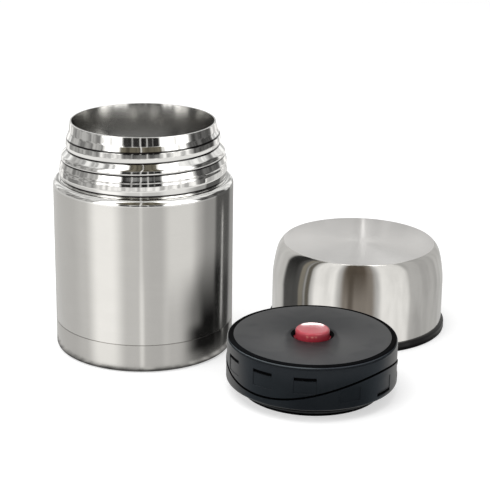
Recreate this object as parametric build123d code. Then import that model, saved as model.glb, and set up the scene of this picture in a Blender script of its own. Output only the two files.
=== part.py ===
from build123d import *
import os
from math import atan2, cos, degrees, radians, sin

# Insulated food jar, laid open on a table: the jar, its push-button stopper and its cup lid.
# Millimetres, +Z up. The origin is the middle of the jar's base. Each of the three pieces is
# drawn about its own vertical axis, from z = 0 at the table, and then set down in its place.

# ---------------------------------------------------------------- driving dimensions
FIT_GAP = 0.05  # between pieces that are pressed or laid together
CUT_MARGIN = 1.0  # how far a cutter reaches past the face that it opens

# jar
MOUTH_R = 39.2  # inside radius of the mouth
LINER_WALL = 0.4
SHELL_WALL = 0.5
SHOULDER_R = 3.7  # radius of the rounded shoulder
ROOT_STEP = 0.4  # groove at the foot of the neck, against the shoulder
BODY_H = 94.0  # height of the plain cylinder
NECK_H = 35.5  # from the cylinder's top to the rim
VACUUM_GAP = 5.6  # between the shell and the liner
LINER_NECK_H = 25.0  # straight stretch of liner below the rim
LINER_FLARE_H = 13.0  # over which the liner widens from the mouth to the body
LINER_CORNER_R = 7.0
LINER_WELD_Z = 18.5  # height of the weld between the liner and its bottom
FOIL_T = 0.15
FOIL_MARGIN = 2.0  # bare liner above and below the foil
BASE_CUP_H = 16.0
BASE_CUP_WALL = 0.5
BASE_CUP_CORNER_R = 2.5
SEAM_GAP = 0.25  # visible line between the base cup and the shell
STANDING_RING_W = 4.0
BASE_DISH = 1.2  # the base is dished up inside its standing ring
BOTTOM_SPACE = 1.7  # between the base cup's floor and the vacuum vessel
BOTTOM_FLANGE_H = 4.5
FLOOR_GAP = 5.1  # vacuum space under the liner's bottom
DIMPLE_R = 6.0
DIMPLE_H = 1.0
PUMP_HOLE_R = 1.0
GETTER_R = 4.0
GETTER_H = 2.0
GETTER_PLACE_R = 27.0
CLIP_T = 0.3
CLIP_W = 4.0
CLIP_FOOT = 3.0

# rolled neck, from the rim down: how far outside the rim, how far below the rim, rounding
NECK_LIP = (0.8, 5.0, 4.0)
LIP_CREST = (2.4, 8.5, 3.0)
UPPER_RIDGE = (2.6, 11.6, 0.8)  # carries the stopper
UPPER_GROOVE = (1.9, 14.1, 0)
MIDDLE_STEP = (5.1, 18.6, 1.6)
MIDDLE_RIDGE = (5.3, 20.3, 0.4)
LOWER_GROOVE = (5.1, 21.0, 0)
LOWER_STEP = (6.3, 24.9, 1.5)
LOWER_RIDGE = (6.6, 27.7, 1.2)  # carries the lid
NECK_ROOT = (5.8, 31.8, 0)

# stopper
PLUG_CLEARANCE = 1.6  # plug inside the mouth
PLUG_DEPTH = 22.6  # how far the plug hangs below the jar's rim
PLUG_WALL = 1.6
PLUG_FLOOR = 1.8
PLUG_ROUND = 1.2
SKIRT_CLEARANCE = 0.5  # skirt outside the neck's upper ridge
SKIRT_H = 24.0  # from the skirt's lower edge to the top face
SKIRT_WALL = 1.0
SKIRT_LIP = 0.7  # widening at the skirt's lower edge, to pass the middle ridge
SKIRT_LIP_H = 1.4
COVER_WALL = 0.9
COVER_TOP = 1.8
COVER_ROUND = 1.9
BAND_STEP = 0.35  # the lower band stands this far outside the cover
HEADROOM = 2.3  # between the deck and the cover's top
GASKET_T = 1.8
DECK_T = 2.0
WAVE_DOWN = 14.7  # middle of the wavy line below the top face
WAVE_RISE = 5.8
WAVE_CREST_DEG = 52.0  # from the front of the stopper towards its right
WAVE_GAP = 0.25
PAD_COUNT = 12
PAD_FIRST_DEG = -6.0
PAD_WIDTH_DEG = 15.0
PAD_H = 7.0
PAD_DEPTH = 0.3
UPPER_PAD_DOWN = 14.9  # lower edge of the pads in the cover, below the top face
LOWER_PAD_DOWN = 19.9  # and of those in the lower band
SLOT_H = 1.8
SLOT_WIDTH_DEG = 14.4
HOOK_CLEARANCE = 0.2
HOOK_REACH = 0.45  # how far a hook stands in its slot
SKIRT_ROOT = 0.5  # how deep hooks and band are rooted in the skirt
SEAL_Z = 2.6
SEAL_H = 3.2
SEAL_GROOVE = 0.9
SEAL_SQUEEZE = 0.2
SEAL_LIP_H = 0.8

# push button and vent valve
BUTTON_R = 9.2
BUTTON_PROUD = 3.7
BUTTON_ROUND = 2.8
BUTTON_WALL = 1.6
BUTTON_GAP = 0.8
BUTTON_FLANGE = 1.6
BUTTON_FLANGE_T = 0.9
BUTTON_TRAVEL = 3.0
WELL_CLEARANCE = 0.5
WELL_WALL = 1.4
WELL_DEPTH = 9.0  # below the deck's top
STOP_GAP = 0.3
STEM_R = 2.0
STEM_RUNNING = 0.08
BOSS_WALL = 1.2
BOSS_H = 6.0
PORT_R = 4.0
VALVE_RECESS_R = 10.0
VALVE_MARGIN = 2.5  # free height under the valve's head when it is open
VALVE_SEAL_R = 7.2
VALVE_SEAL_T = 1.4
VALVE_HEAD_R = 6.0
VALVE_HEAD_T = 1.0
SEAT_GAP = 0.1
SPRING_R = 5.9
SPRING_WIRE_R = 0.4
SPRING_TURNS = 3

# cup lid
LID_CLEARANCE = 1.1  # between the button and the lid's ceiling when the jar is closed
LID_WALL = 0.5
LID_CREASE = 6.1  # how far the crease of the top lies inside the side
LID_BULGE_H = 22.5  # height over which the side curves in
LID_KNEE_IN = 2.6  # where the curve tightens: how far inside the side
LID_KNEE_DOWN = 5.1  # and how far below the top
CUP_WALL = 1.3
CUP_CEILING = 1.4
CUP_GAP = 0.3
CUP_CEILING_GAP = 0.6
RIM_RING_H = 4.5
RIM_RING_PROUD = 1.65
RIM_RING_ROUND = 0.8
RIM_RING_LAP = 0.5  # the threaded wall starts this deep in the ring
THREAD_CLEARANCE = 0.4  # the lid's threaded wall outside the neck's lower ridge
THREAD_ZONE_H = 15.0
THREAD_STEP_H = 1.0
LID_SEAT_GAP = 0.2  # the rim ring above the jar's shoulder when the lid is on

# places on the table
STOPPER_BEARING_DEG = -34.7  # from +X about the jar
STOPPER_SPACE = 18.7  # free table between the jar and the stopper
LID_BEARING_DEG = 15.7
LID_SPACE = 26.2

# ---------------------------------------------------------------- sizes that follow
RIM_R = MOUTH_R + LINER_WALL + SHELL_WALL
RIM_Z = BODY_H + NECK_H
ROOT_R = RIM_R + NECK_ROOT[0]
BODY_R = ROOT_R + ROOT_STEP + SHOULDER_R
LINER_R = BODY_R - SHELL_WALL - VACUUM_GAP
VESSEL_R = BODY_R - BASE_CUP_WALL - FIT_GAP  # shell where the base cup slips over it
BASE_FLOOR_Z = BASE_DISH + BASE_CUP_WALL
VESSEL_Z = BASE_FLOOR_Z + BOTTOM_SPACE
LINER_FLOOR_Z = VESSEL_Z + SHELL_WALL + FLOOR_GAP

PLUG_R = MOUTH_R - PLUG_CLEARANCE
DECK_Z = PLUG_DEPTH + GASKET_T
DECK_TOP_Z = DECK_Z + DECK_T
TOP_Z = DECK_TOP_Z + HEADROOM + COVER_TOP
SKIRT_R = RIM_R + UPPER_RIDGE[0] + SKIRT_CLEARANCE
COVER_R = SKIRT_R + SKIRT_WALL + FIT_GAP + COVER_WALL
BAND_R = COVER_R + BAND_STEP
SKIRT_Z = TOP_Z - SKIRT_H
WAVE_MEAN_Z = TOP_Z - WAVE_DOWN
UPPER_PAD_Z = TOP_Z - UPPER_PAD_DOWN
LOWER_PAD_Z = TOP_Z - LOWER_PAD_DOWN
WELL_R = BUTTON_R + BUTTON_FLANGE + WELL_CLEARANCE
WELL_FLOOR_Z = DECK_TOP_Z - WELL_DEPTH
BUTTON_TOP_Z = TOP_Z + BUTTON_PROUD
VALVE_RECESS_H = SEAT_GAP + VALVE_SEAL_T + VALVE_HEAD_T + BUTTON_TRAVEL + VALVE_MARGIN

CLOSED_HEAD = BUTTON_TOP_Z - PLUG_DEPTH  # from the jar's rim to the top of the button
LID_CEILING = LID_WALL + CUP_CEILING_GAP + CUP_CEILING
LID_H = NECK_H - LID_SEAT_GAP + CLOSED_HEAD + LID_CLEARANCE + LID_CEILING
LID_R = BODY_R
LID_THREAD_R = RIM_R + LOWER_RIDGE[0] + THREAD_CLEARANCE


# ---------------------------------------------------------------- drawing helpers
def turned(corners):
    """Solid of revolution about Z from a closed (r, z) outline; a third value rounds a corner."""
    points = [(corner[0], 0, corner[1]) for corner in corners]
    rounds = [corner[2] if len(corner) > 2 else 0 for corner in corners]
    outline = FilletPolyline(*points, radius=rounds, close=True)
    return revolve(make_face(outline), Axis.Z)


def turned_edges(edges):
    """Solid of revolution about Z from joined edges in the XZ plane."""
    return revolve(make_face(edges), Axis.Z)


def ring(inner_r, outer_r, low_z, high_z):
    """Plain ring about Z."""
    return turned([(inner_r, low_z), (outer_r, low_z), (outer_r, high_z), (inner_r, high_z)])


def disc(outer_r, low_z, high_z):
    """Plain disc about Z."""
    return Pos(0, 0, low_z) * extrude(Circle(outer_r), high_z - low_z)


def arc_window(inner_r, outer_r, low_z, high_z, middle_deg, width_deg):
    """Curved block between two radii, centred middle_deg to the right of the front."""
    block = ring(inner_r, outer_r, low_z, high_z)
    corner_r = outer_r / cos(radians(width_deg / 2)) + CUT_MARGIN
    side = width_deg / 2
    corners = [(corner_r * sin(radians(turn)), -corner_r * cos(radians(turn))) for turn in (-side, side)]
    wedge = extrude(make_face(Polyline((0, 0), *corners, close=True)), high_z - low_z)
    return block & (Pos(0, 0, low_z) * Rot(0, 0, middle_deg) * wedge)


# ---------------------------------------------------------------- jar
def neck_corners(inset):
    """(r, z, rounding) of the rolled neck from the rim down, on its outer or its inner side."""
    rolls = [
        NECK_LIP,
        LIP_CREST,
        UPPER_RIDGE,
        UPPER_GROOVE,
        MIDDLE_STEP,
        MIDDLE_RIDGE,
        LOWER_GROOVE,
        LOWER_STEP,
        LOWER_RIDGE,
        NECK_ROOT,
    ]
    rounded = inset == 0  # the vacuum side is hidden and stays plain
    corners = [(RIM_R - inset, RIM_Z)]
    corners += [(RIM_R + out - inset, RIM_Z - down, rounding * rounded) for out, down, rounding in rolls]
    return corners


def outer_shell():
    """Brushed cylinder with the shoulder and the rolled neck, one sheet thick."""
    shoulder_z = BODY_H + SHOULDER_R
    side_r = BODY_R - SHELL_WALL
    joggle_z = BASE_CUP_H + SEAM_GAP
    return turned(
        neck_corners(0)
        + [
            (BODY_R, shoulder_z, SHOULDER_R),
            (BODY_R, joggle_z),
            (VESSEL_R, joggle_z),
            (VESSEL_R, VESSEL_Z),
            (VESSEL_R - SHELL_WALL, VESSEL_Z),
            (VESSEL_R - SHELL_WALL, joggle_z + SHELL_WALL),
            (side_r, joggle_z + SHELL_WALL),
            (side_r, shoulder_z - SHELL_WALL, SHOULDER_R - SHELL_WALL),
            (ROOT_R - SHELL_WALL, shoulder_z - SHELL_WALL),
        ]
        + neck_corners(SHELL_WALL)[::-1]
    )


def inner_liner():
    """Tube of the inner vessel: straight in the neck, wider in the body."""
    flare_z = RIM_Z - LINER_NECK_H
    wide_z = flare_z - LINER_FLARE_H
    body_r = LINER_R - LINER_WALL
    return turned(
        [
            (MOUTH_R, RIM_Z),
            (MOUTH_R, flare_z, LINER_FLARE_H),
            (body_r, wide_z, LINER_FLARE_H),
            (body_r, LINER_WELD_Z),
            (LINER_R, LINER_WELD_Z),
            (LINER_R, wide_z, LINER_FLARE_H),
            (MOUTH_R + LINER_WALL, flare_z, LINER_FLARE_H),
            (MOUTH_R + LINER_WALL, RIM_Z),
        ]
    )


def liner_bottom():
    """Round-cornered bottom, butt-welded to the liner."""
    inner_r = LINER_R - LINER_WALL
    floor_z = LINER_FLOOR_Z + LINER_WALL
    return turned(
        [
            (0, LINER_FLOOR_Z),
            (LINER_R, LINER_FLOOR_Z, LINER_CORNER_R),
            (LINER_R, LINER_WELD_Z),
            (inner_r, LINER_WELD_Z),
            (inner_r, floor_z, LINER_CORNER_R - LINER_WALL),
            (0, floor_z),
        ]
    )


def shell_bottom():
    """Pressed pan welded into the shell's lower end, dimpled over the pump hole."""
    outer_r = VESSEL_R - SHELL_WALL
    top_z = VESSEL_Z + BOTTOM_FLANGE_H
    inner_z = VESSEL_Z + SHELL_WALL
    return turned(
        [
            (PUMP_HOLE_R, VESSEL_Z + DIMPLE_H),
            (DIMPLE_R, VESSEL_Z + DIMPLE_H),
            (DIMPLE_R, VESSEL_Z),
            (outer_r, VESSEL_Z),
            (outer_r, top_z),
            (outer_r - SHELL_WALL, top_z),
            (outer_r - SHELL_WALL, inner_z),
            (DIMPLE_R + SHELL_WALL, inner_z),
            (DIMPLE_R + SHELL_WALL, inner_z + DIMPLE_H),
            (PUMP_HOLE_R, inner_z + DIMPLE_H),
        ]
    )


def vacuum_seal():
    """Bead of solder glass in the dimple, melted up into the pump hole."""
    bead = disc(DIMPLE_R - SHELL_WALL, VESSEL_Z, VESSEL_Z + DIMPLE_H)
    return bead + disc(PUMP_HOLE_R, VESSEL_Z + DIMPLE_H, VESSEL_Z + DIMPLE_H + SHELL_WALL / 2)


def base_cup():
    """Steel cup over the vessel's lower end, standing on a ring round its dished floor."""
    ring_r = BODY_R - BASE_CUP_CORNER_R - STANDING_RING_W
    return turned(
        [
            (0, BASE_DISH),
            (ring_r - BASE_DISH, BASE_DISH),
            (ring_r, 0),
            (BODY_R, 0, BASE_CUP_CORNER_R),
            (BODY_R, BASE_CUP_H),
            (BODY_R - BASE_CUP_WALL, BASE_CUP_H),
            (BODY_R - BASE_CUP_WALL, BASE_CUP_CORNER_R),
            (BODY_R - BASE_CUP_CORNER_R, BASE_CUP_WALL),
            (ring_r, BASE_CUP_WALL),
            (ring_r - BASE_DISH, BASE_FLOOR_Z),
            (0, BASE_FLOOR_Z),
        ]
    )


def reflective_foil():
    """Foil wrapped round the straight part of the liner."""
    top_z = RIM_Z - LINER_NECK_H - LINER_FLARE_H - FOIL_MARGIN
    inner_r = LINER_R + FIT_GAP
    return ring(inner_r, inner_r + FOIL_T, LINER_WELD_Z + FOIL_MARGIN, top_z)


def getter_pill():
    """Getter tablet on the pan, in the vacuum space."""
    floor_z = VESSEL_Z + SHELL_WALL
    return Pos(GETTER_PLACE_R, 0, 0) * disc(GETTER_R, floor_z, floor_z + GETTER_H)


def getter_clip():
    """Bent strap over the getter with a spot-welded foot at each end."""
    floor_z = VESSEL_Z + SHELL_WALL
    over_z = floor_z + GETTER_H
    leg = GETTER_R + FIT_GAP
    reach = leg + CLIP_T + CLIP_FOOT
    outline = Polyline(
        (-reach, 0, floor_z),
        (-leg, 0, floor_z),
        (-leg, 0, over_z),
        (leg, 0, over_z),
        (leg, 0, floor_z),
        (reach, 0, floor_z),
        (reach, 0, floor_z + CLIP_T),
        (leg + CLIP_T, 0, floor_z + CLIP_T),
        (leg + CLIP_T, 0, over_z + CLIP_T),
        (-leg - CLIP_T, 0, over_z + CLIP_T),
        (-leg - CLIP_T, 0, floor_z + CLIP_T),
        (-reach, 0, floor_z + CLIP_T),
        close=True,
    )
    strap = extrude(make_face(outline), CLIP_W / 2, dir=(0, 1, 0), both=True)
    return Pos(GETTER_PLACE_R, 0, 0) * strap


# ---------------------------------------------------------------- stopper
def above_wave(shift):
    """Everything above the wavy line, which rises and falls twice round the skirt.

    A saddle surface meets a cylinder about its axis in exactly such a line, so one
    saddle-shaped patch, drawn upward into a block, does as the cutter.
    """
    half = 2 * BAND_R
    bend = WAVE_RISE / (BAND_R * BAND_R)
    square = (half * half, -half * half, half * half)  # control values of a parabola
    places = (-half, 0, half)
    patch = Face.make_bezier_surface(
        [
            [(x, y, WAVE_MEAN_Z + shift + bend * (x_square - y_square)) for y, y_square in zip(places, square)]
            for x, x_square in zip(places, square)
        ]
    )
    block = extrude(patch, bend * half * half + SKIRT_H, dir=(0, 0, 1))
    return Rot(0, 0, WAVE_CREST_DEG - 90) * block


def wave_z(angle_deg):
    """Height of the wavy line at an angle to the right of the front."""
    return WAVE_MEAN_Z + WAVE_RISE * cos(2 * radians(angle_deg - WAVE_CREST_DEG))


def pad_angles(upper):
    """Middles of the grip pads: above the wavy line where it is low, else below it."""
    angles = [PAD_FIRST_DEG + turn * 360 / PAD_COUNT for turn in range(PAD_COUNT)]
    return [angle for angle in angles if (wave_z(angle) < WAVE_MEAN_Z) == upper]


def stopper_cover():
    """Top and side of the stopper down to the wavy line, with a collar round the button."""
    inner_r = COVER_R - COVER_WALL
    under_z = TOP_Z - COVER_TOP
    hole_r = BUTTON_R + BUTTON_GAP
    cover = turned(
        [
            (hole_r, TOP_Z),
            (COVER_R, TOP_Z, COVER_ROUND),
            (COVER_R, SKIRT_Z),
            (inner_r, SKIRT_Z),
            (inner_r, under_z),
            (WELL_R + WELL_WALL, under_z),
            (WELL_R + WELL_WALL, DECK_TOP_Z),
            (WELL_R, DECK_TOP_Z),
            (WELL_R, under_z),
            (hole_r, under_z),
        ]
    )
    cover &= above_wave(WAVE_GAP)
    pad_top = UPPER_PAD_Z + PAD_H
    out_r = COVER_R + CUT_MARGIN
    for angle in pad_angles(upper=True):
        cover -= arc_window(COVER_R - PAD_DEPTH, out_r, UPPER_PAD_Z, pad_top, angle, PAD_WIDTH_DEG)
        cover -= arc_window(inner_r - CUT_MARGIN, out_r, pad_top, pad_top + SLOT_H, angle, SLOT_WIDTH_DEG)
    return cover


def stopper_body():
    """Threaded skirt with the wavy band, the deck that carries the plug, and the button well."""
    outer_r = SKIRT_R + SKIRT_WALL
    well_outer_r = WELL_R + WELL_WALL
    well_under_z = WELL_FLOOR_Z - WELL_WALL
    body = turned(
        [
            (SKIRT_R + SKIRT_LIP, SKIRT_Z),
            (outer_r, SKIRT_Z),
            (outer_r, DECK_TOP_Z),
            (WELL_R, DECK_TOP_Z),
            (WELL_R, WELL_FLOOR_Z),
            (STEM_R + STEM_RUNNING, WELL_FLOOR_Z),
            (STEM_R + STEM_RUNNING, well_under_z),
            (well_outer_r, well_under_z),
            (well_outer_r, DECK_Z),
            (SKIRT_R, DECK_Z),
            (SKIRT_R, SKIRT_Z + SKIRT_LIP_H),
        ]
    )
    band = turned(
        [
            (outer_r - SKIRT_ROOT, SKIRT_Z),
            (BAND_R, SKIRT_Z, BAND_STEP),
            (BAND_R, DECK_Z),
            (outer_r - SKIRT_ROOT, DECK_Z),
        ]
    )
    body += band - above_wave(0)
    pad_top = LOWER_PAD_Z + PAD_H
    out_r = BAND_R + CUT_MARGIN
    for angle in pad_angles(upper=False):
        body -= arc_window(BAND_R - PAD_DEPTH, out_r, LOWER_PAD_Z, pad_top, angle, PAD_WIDTH_DEG)
        if wave_z(angle) > pad_top + SLOT_H:  # only where the band stands high
            body -= arc_window(outer_r, out_r, LOWER_PAD_Z - SLOT_H, LOWER_PAD_Z, angle, SLOT_WIDTH_DEG)
    for angle in pad_angles(upper=True):
        body += snap_hook(angle)
    return body


def snap_hook(angle_deg):
    """Hook of the body that catches in the cover's slot."""
    slot_z = UPPER_PAD_Z + PAD_H
    outer_r = SKIRT_R + SKIRT_WALL
    clear_deg = degrees(2 * HOOK_CLEARANCE / outer_r)
    return arc_window(
        outer_r - SKIRT_ROOT,
        outer_r + HOOK_REACH,
        slot_z + HOOK_CLEARANCE,
        slot_z + SLOT_H - HOOK_CLEARANCE,
        angle_deg,
        SLOT_WIDTH_DEG - clear_deg,
    )


def plug_cup():
    """Hollow plug with a recess below for the vent valve and an air passage up to the well."""
    inner_r = PLUG_R - PLUG_WALL
    recess_outer_r = VALVE_RECESS_R + PLUG_WALL
    ceiling_top_z = VALVE_RECESS_H + PLUG_WALL
    tube_r = PORT_R + PLUG_WALL
    tube_top_z = WELL_FLOOR_Z - WELL_WALL
    return turned(
        [
            (VALVE_RECESS_R, 0),
            (PLUG_R, 0, PLUG_ROUND),
            (PLUG_R, SEAL_Z),
            (PLUG_R - SEAL_GROOVE, SEAL_Z),
            (PLUG_R - SEAL_GROOVE, SEAL_Z + SEAL_H),
            (PLUG_R, SEAL_Z + SEAL_H),
            (PLUG_R, DECK_Z),
            (inner_r, DECK_Z),
            (inner_r, PLUG_FLOOR),
            (recess_outer_r, PLUG_FLOOR),
            (recess_outer_r, ceiling_top_z),
            (tube_r, ceiling_top_z),
            (tube_r, tube_top_z),
            (PORT_R, tube_top_z),
            (PORT_R, VALVE_RECESS_H),
            (VALVE_RECESS_R, VALVE_RECESS_H),
        ]
    )


def plug_insulation():
    """Foam ring that fills the plug round the valve recess, the air passage and the well."""
    outer_r = PLUG_R - PLUG_WALL - FIT_GAP
    recess_r = VALVE_RECESS_R + PLUG_WALL + FIT_GAP
    tube_r = PORT_R + PLUG_WALL + FIT_GAP
    well_r = WELL_R + WELL_WALL + FIT_GAP
    floor_z = PLUG_FLOOR + FIT_GAP
    deck_z = DECK_Z - FIT_GAP
    ceiling_z = VALVE_RECESS_H + PLUG_WALL + FIT_GAP
    well_z = WELL_FLOOR_Z - WELL_WALL - FIT_GAP
    return turned(
        [
            (recess_r, floor_z),
            (outer_r, floor_z),
            (outer_r, deck_z),
            (well_r, deck_z),
            (well_r, well_z),
            (tube_r, well_z),
            (tube_r, ceiling_z),
            (recess_r, ceiling_z),
        ]
    )


def rim_gasket():
    """Silicone ring under the deck, on which the jar's rim seals."""
    return ring(PLUG_R + FIT_GAP, SKIRT_R - FIT_GAP, PLUG_DEPTH, DECK_Z)


def plug_seal():
    """Silicone ring with two lips in the plug's groove."""
    inner_r = PLUG_R - SEAL_GROOVE
    lip_r = MOUTH_R + SEAL_SQUEEZE
    low_z = SEAL_Z + FIT_GAP
    high_z = SEAL_Z + SEAL_H - FIT_GAP
    return turned(
        [
            (inner_r, low_z),
            (lip_r, low_z),
            (lip_r, low_z + SEAL_LIP_H),
            (PLUG_R, low_z + SEAL_LIP_H),
            (PLUG_R, high_z - SEAL_LIP_H),
            (lip_r, high_z - SEAL_LIP_H),
            (lip_r, high_z),
            (inner_r, high_z),
        ]
    )


# ---------------------------------------------------------------- push button and vent valve
def push_button():
    """Hollow button with a retaining flange and a boss for the stem."""
    flange_z = TOP_Z - COVER_TOP - STOP_GAP
    inner_r = BUTTON_R - BUTTON_WALL
    ceiling_z = BUTTON_TOP_Z - BUTTON_WALL
    boss_r = STEM_R + BOSS_WALL
    boss_z = ceiling_z - BOSS_H
    return turned(
        [
            (0, BUTTON_TOP_Z),
            (BUTTON_R, BUTTON_TOP_Z, BUTTON_ROUND),
            (BUTTON_R, flange_z),
            (BUTTON_R + BUTTON_FLANGE, flange_z),
            (BUTTON_R + BUTTON_FLANGE, flange_z - BUTTON_FLANGE_T),
            (inner_r, flange_z - BUTTON_FLANGE_T),
            (inner_r, ceiling_z),
            (boss_r, ceiling_z),
            (boss_r, boss_z),
            (STEM_R, boss_z),
            (STEM_R, ceiling_z),
            (0, ceiling_z),
        ]
    )


def valve_stem():
    """Rod from the button's boss down to the head that carries the seal."""
    seal_low_z = VALVE_RECESS_H - SEAT_GAP - VALVE_SEAL_T
    ceiling_z = BUTTON_TOP_Z - BUTTON_WALL
    return turned(
        [
            (0, seal_low_z - VALVE_HEAD_T),
            (VALVE_HEAD_R, seal_low_z - VALVE_HEAD_T),
            (VALVE_HEAD_R, seal_low_z),
            (STEM_R, seal_low_z),
            (STEM_R, ceiling_z),
            (0, ceiling_z),
        ]
    )


def valve_seal():
    """Silicone disc on the stem's head, closing the port from below."""
    seal_top_z = VALVE_RECESS_H - SEAT_GAP
    return ring(STEM_R, VALVE_SEAL_R, seal_top_z - VALVE_SEAL_T, seal_top_z)


def button_spring():
    """Coil between the well's floor and the button's ceiling."""
    low_z = WELL_FLOOR_Z + SPRING_WIRE_R
    high_z = BUTTON_TOP_Z - BUTTON_WALL - SPRING_WIRE_R
    height = high_z - low_z
    path = Helix(height / SPRING_TURNS, height, SPRING_R)
    section = Plane(path @ 0, z_dir=path % 0) * RegularPolygon(SPRING_WIRE_R, 6)
    return Pos(0, 0, low_z) * sweep(section, path=path)


# ---------------------------------------------------------------- cup lid
def lid_line(inset):
    """Bulging part of the lid's side, from the straight side up to the crease, moved in by inset.

    Two arcs that run on smoothly: the first leaves the straight side upright, and the
    second tightens towards the crease.
    """
    low_z = LID_H - LID_BULGE_H
    knee_turn = 2 * atan2(LID_KNEE_IN, LID_H - LID_KNEE_DOWN - low_z)
    crease_turn = 2 * atan2(LID_CREASE - LID_KNEE_IN, LID_KNEE_DOWN) - knee_turn
    start = (LID_R - inset, 0, low_z)
    knee = (
        LID_R - LID_KNEE_IN - inset * cos(knee_turn),
        0,
        LID_H - LID_KNEE_DOWN - inset * sin(knee_turn),
    )
    crease = (
        LID_R - LID_CREASE - inset * cos(crease_turn),
        0,
        LID_H - inset * sin(crease_turn),
    )
    return [
        TangentArc(start, knee, tangent=(0, 0, 1)),
        TangentArc(knee, crease, tangent=(-sin(knee_turn), 0, cos(knee_turn))),
    ]


def lid_form(inset, low_z, high_z):
    """Solid form of the lid moved in by inset, between two heights."""
    side = lid_line(inset)
    start, crease = side[0] @ 0, side[-1] @ 1
    edges = side + [
        Polyline(crease, (0, 0, crease.Z), (0, 0, low_z), (start.X, 0, low_z), start),
    ]
    return turned_edges(edges) & disc(LID_R + CUT_MARGIN, low_z, high_z)


def lid_shell():
    """Drawn steel cup, one sheet thick, with a crisp crease round its flat top."""
    return lid_form(0, RIM_RING_H, LID_H) - lid_form(LID_WALL, RIM_RING_H, LID_H - LID_WALL)


def cup_form(inset, high_z):
    """Solid form inside the lid's by inset, with straight flanks in place of the two arcs."""
    side = lid_line(inset)
    start, knee, crease = side[0] @ 0, side[0] @ 1, side[1] @ 1
    corners = [
        (0, RIM_RING_H),
        (start.X, RIM_RING_H),
        (start.X, start.Z),
        (knee.X, knee.Z),
        (crease.X, crease.Z),
        (0, crease.Z),
    ]
    return turned(corners) & disc(LID_R, RIM_RING_H, high_z)


def lid_inner_cup():
    """Moulded cup inside the steel one, with the threaded wall and the rim ring in one piece."""
    gap = LID_WALL + CUP_GAP
    ceiling_top = LID_H - LID_WALL - CUP_CEILING_GAP
    inner_r = LID_R - gap - CUP_WALL
    cup = cup_form(gap, ceiling_top) - cup_form(gap + CUP_WALL, ceiling_top - CUP_CEILING)
    threaded_wall = turned(
        [
            (LID_THREAD_R, RIM_RING_H - RIM_RING_LAP),
            (LID_R - gap, RIM_RING_H - RIM_RING_LAP),
            (LID_R - gap, THREAD_ZONE_H),
            (inner_r, THREAD_ZONE_H),
            (LID_THREAD_R, THREAD_ZONE_H - THREAD_STEP_H),
        ]
    )
    seat_r = BODY_R + LID_SEAT_GAP
    ring_r = LID_R + RIM_RING_PROUD
    rim_ring = turned(
        [
            (seat_r, 0),
            (ring_r, 0, RIM_RING_ROUND),
            (ring_r, RIM_RING_H, RIM_RING_ROUND),
            (LID_THREAD_R, RIM_RING_H),
            (LID_THREAD_R, SHOULDER_R + LID_SEAT_GAP),
            (seat_r - SHOULDER_R / 2, SHOULDER_R),
        ]
    )
    return cup + threaded_wall + rim_ring


# ---------------------------------------------------------------- places and output
def beside_jar(bearing_deg, distance):
    """Place on the table at a bearing from +X and a distance from the jar's axis."""
    return Pos(distance * cos(radians(bearing_deg)), distance * sin(radians(bearing_deg)), 0)


def main():
    stopper_place = beside_jar(STOPPER_BEARING_DEG, BODY_R + STOPPER_SPACE + BAND_R)
    lid_place = beside_jar(LID_BEARING_DEG, BODY_R + LID_SPACE + LID_R + RIM_RING_PROUD)
    groups = [
        (
            Pos(0, 0, 0),
            [
                outer_shell,
                inner_liner,
                liner_bottom,
                shell_bottom,
                vacuum_seal,
                base_cup,
                reflective_foil,
                getter_pill,
                getter_clip,
            ],
        ),
        (
            stopper_place,
            [
                stopper_cover,
                stopper_body,
                plug_cup,
                plug_insulation,
                rim_gasket,
                plug_seal,
                push_button,
                valve_stem,
                valve_seal,
                button_spring,
            ],
        ),
        (lid_place, [lid_shell, lid_inner_cup]),
    ]
    os.makedirs("parts", exist_ok=True)
    for place, makers in groups:
        for maker in makers:
            export_step(place * maker(), os.path.join("parts", maker.__name__ + ".step"))


if __name__ == "__main__":
    main()
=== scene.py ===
"""Looks of an insulated food jar laid open: the jar, its push-button stopper and its cup lid.

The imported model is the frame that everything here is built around. Sizes are millimetres until a
piece is finished, and metres after that.
"""

import logging
import math
from collections.abc import Callable, Sequence
from dataclasses import dataclass, field
from enum import Enum
from typing import NamedTuple

import bmesh
import bpy
from mathutils import Matrix, Vector


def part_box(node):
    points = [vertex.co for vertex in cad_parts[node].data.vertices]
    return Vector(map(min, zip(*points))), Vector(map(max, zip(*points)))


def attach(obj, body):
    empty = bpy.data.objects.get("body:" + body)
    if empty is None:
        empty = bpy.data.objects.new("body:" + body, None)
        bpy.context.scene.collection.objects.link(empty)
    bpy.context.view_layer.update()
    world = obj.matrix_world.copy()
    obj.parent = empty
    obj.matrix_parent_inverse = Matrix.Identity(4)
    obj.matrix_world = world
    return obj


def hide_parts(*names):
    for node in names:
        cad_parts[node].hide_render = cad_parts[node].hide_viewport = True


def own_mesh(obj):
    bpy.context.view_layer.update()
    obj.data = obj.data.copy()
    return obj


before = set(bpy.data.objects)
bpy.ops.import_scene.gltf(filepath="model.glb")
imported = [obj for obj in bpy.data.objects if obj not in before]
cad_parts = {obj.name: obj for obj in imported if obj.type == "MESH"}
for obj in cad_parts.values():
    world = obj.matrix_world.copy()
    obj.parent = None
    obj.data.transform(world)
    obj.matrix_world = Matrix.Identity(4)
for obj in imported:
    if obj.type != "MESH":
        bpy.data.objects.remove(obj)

LOG = logging.getLogger("food_jar")
MM = 0.001
FULL_TURN = 2 * math.pi
BAR_STEPS = 144  # faces round a plain turned piece
GRIP_STEPS = 360  # faces round a piece with grip pads, one to a degree
COIL_STEPS = 48  # faces along one turn of a coil
WIRE_SIDES = 12  # faces round a wire
BAND_FINENESS = 90.0  # of the wide bands among the fine turned lines
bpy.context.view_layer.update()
ORIGIN = (0.0, 0.0, 0.0)
UPWARD = (0.0, 0.0, 1.0)
WHITE_LIGHT = (1.0, 1.0, 1.0, 1.0)

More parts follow.
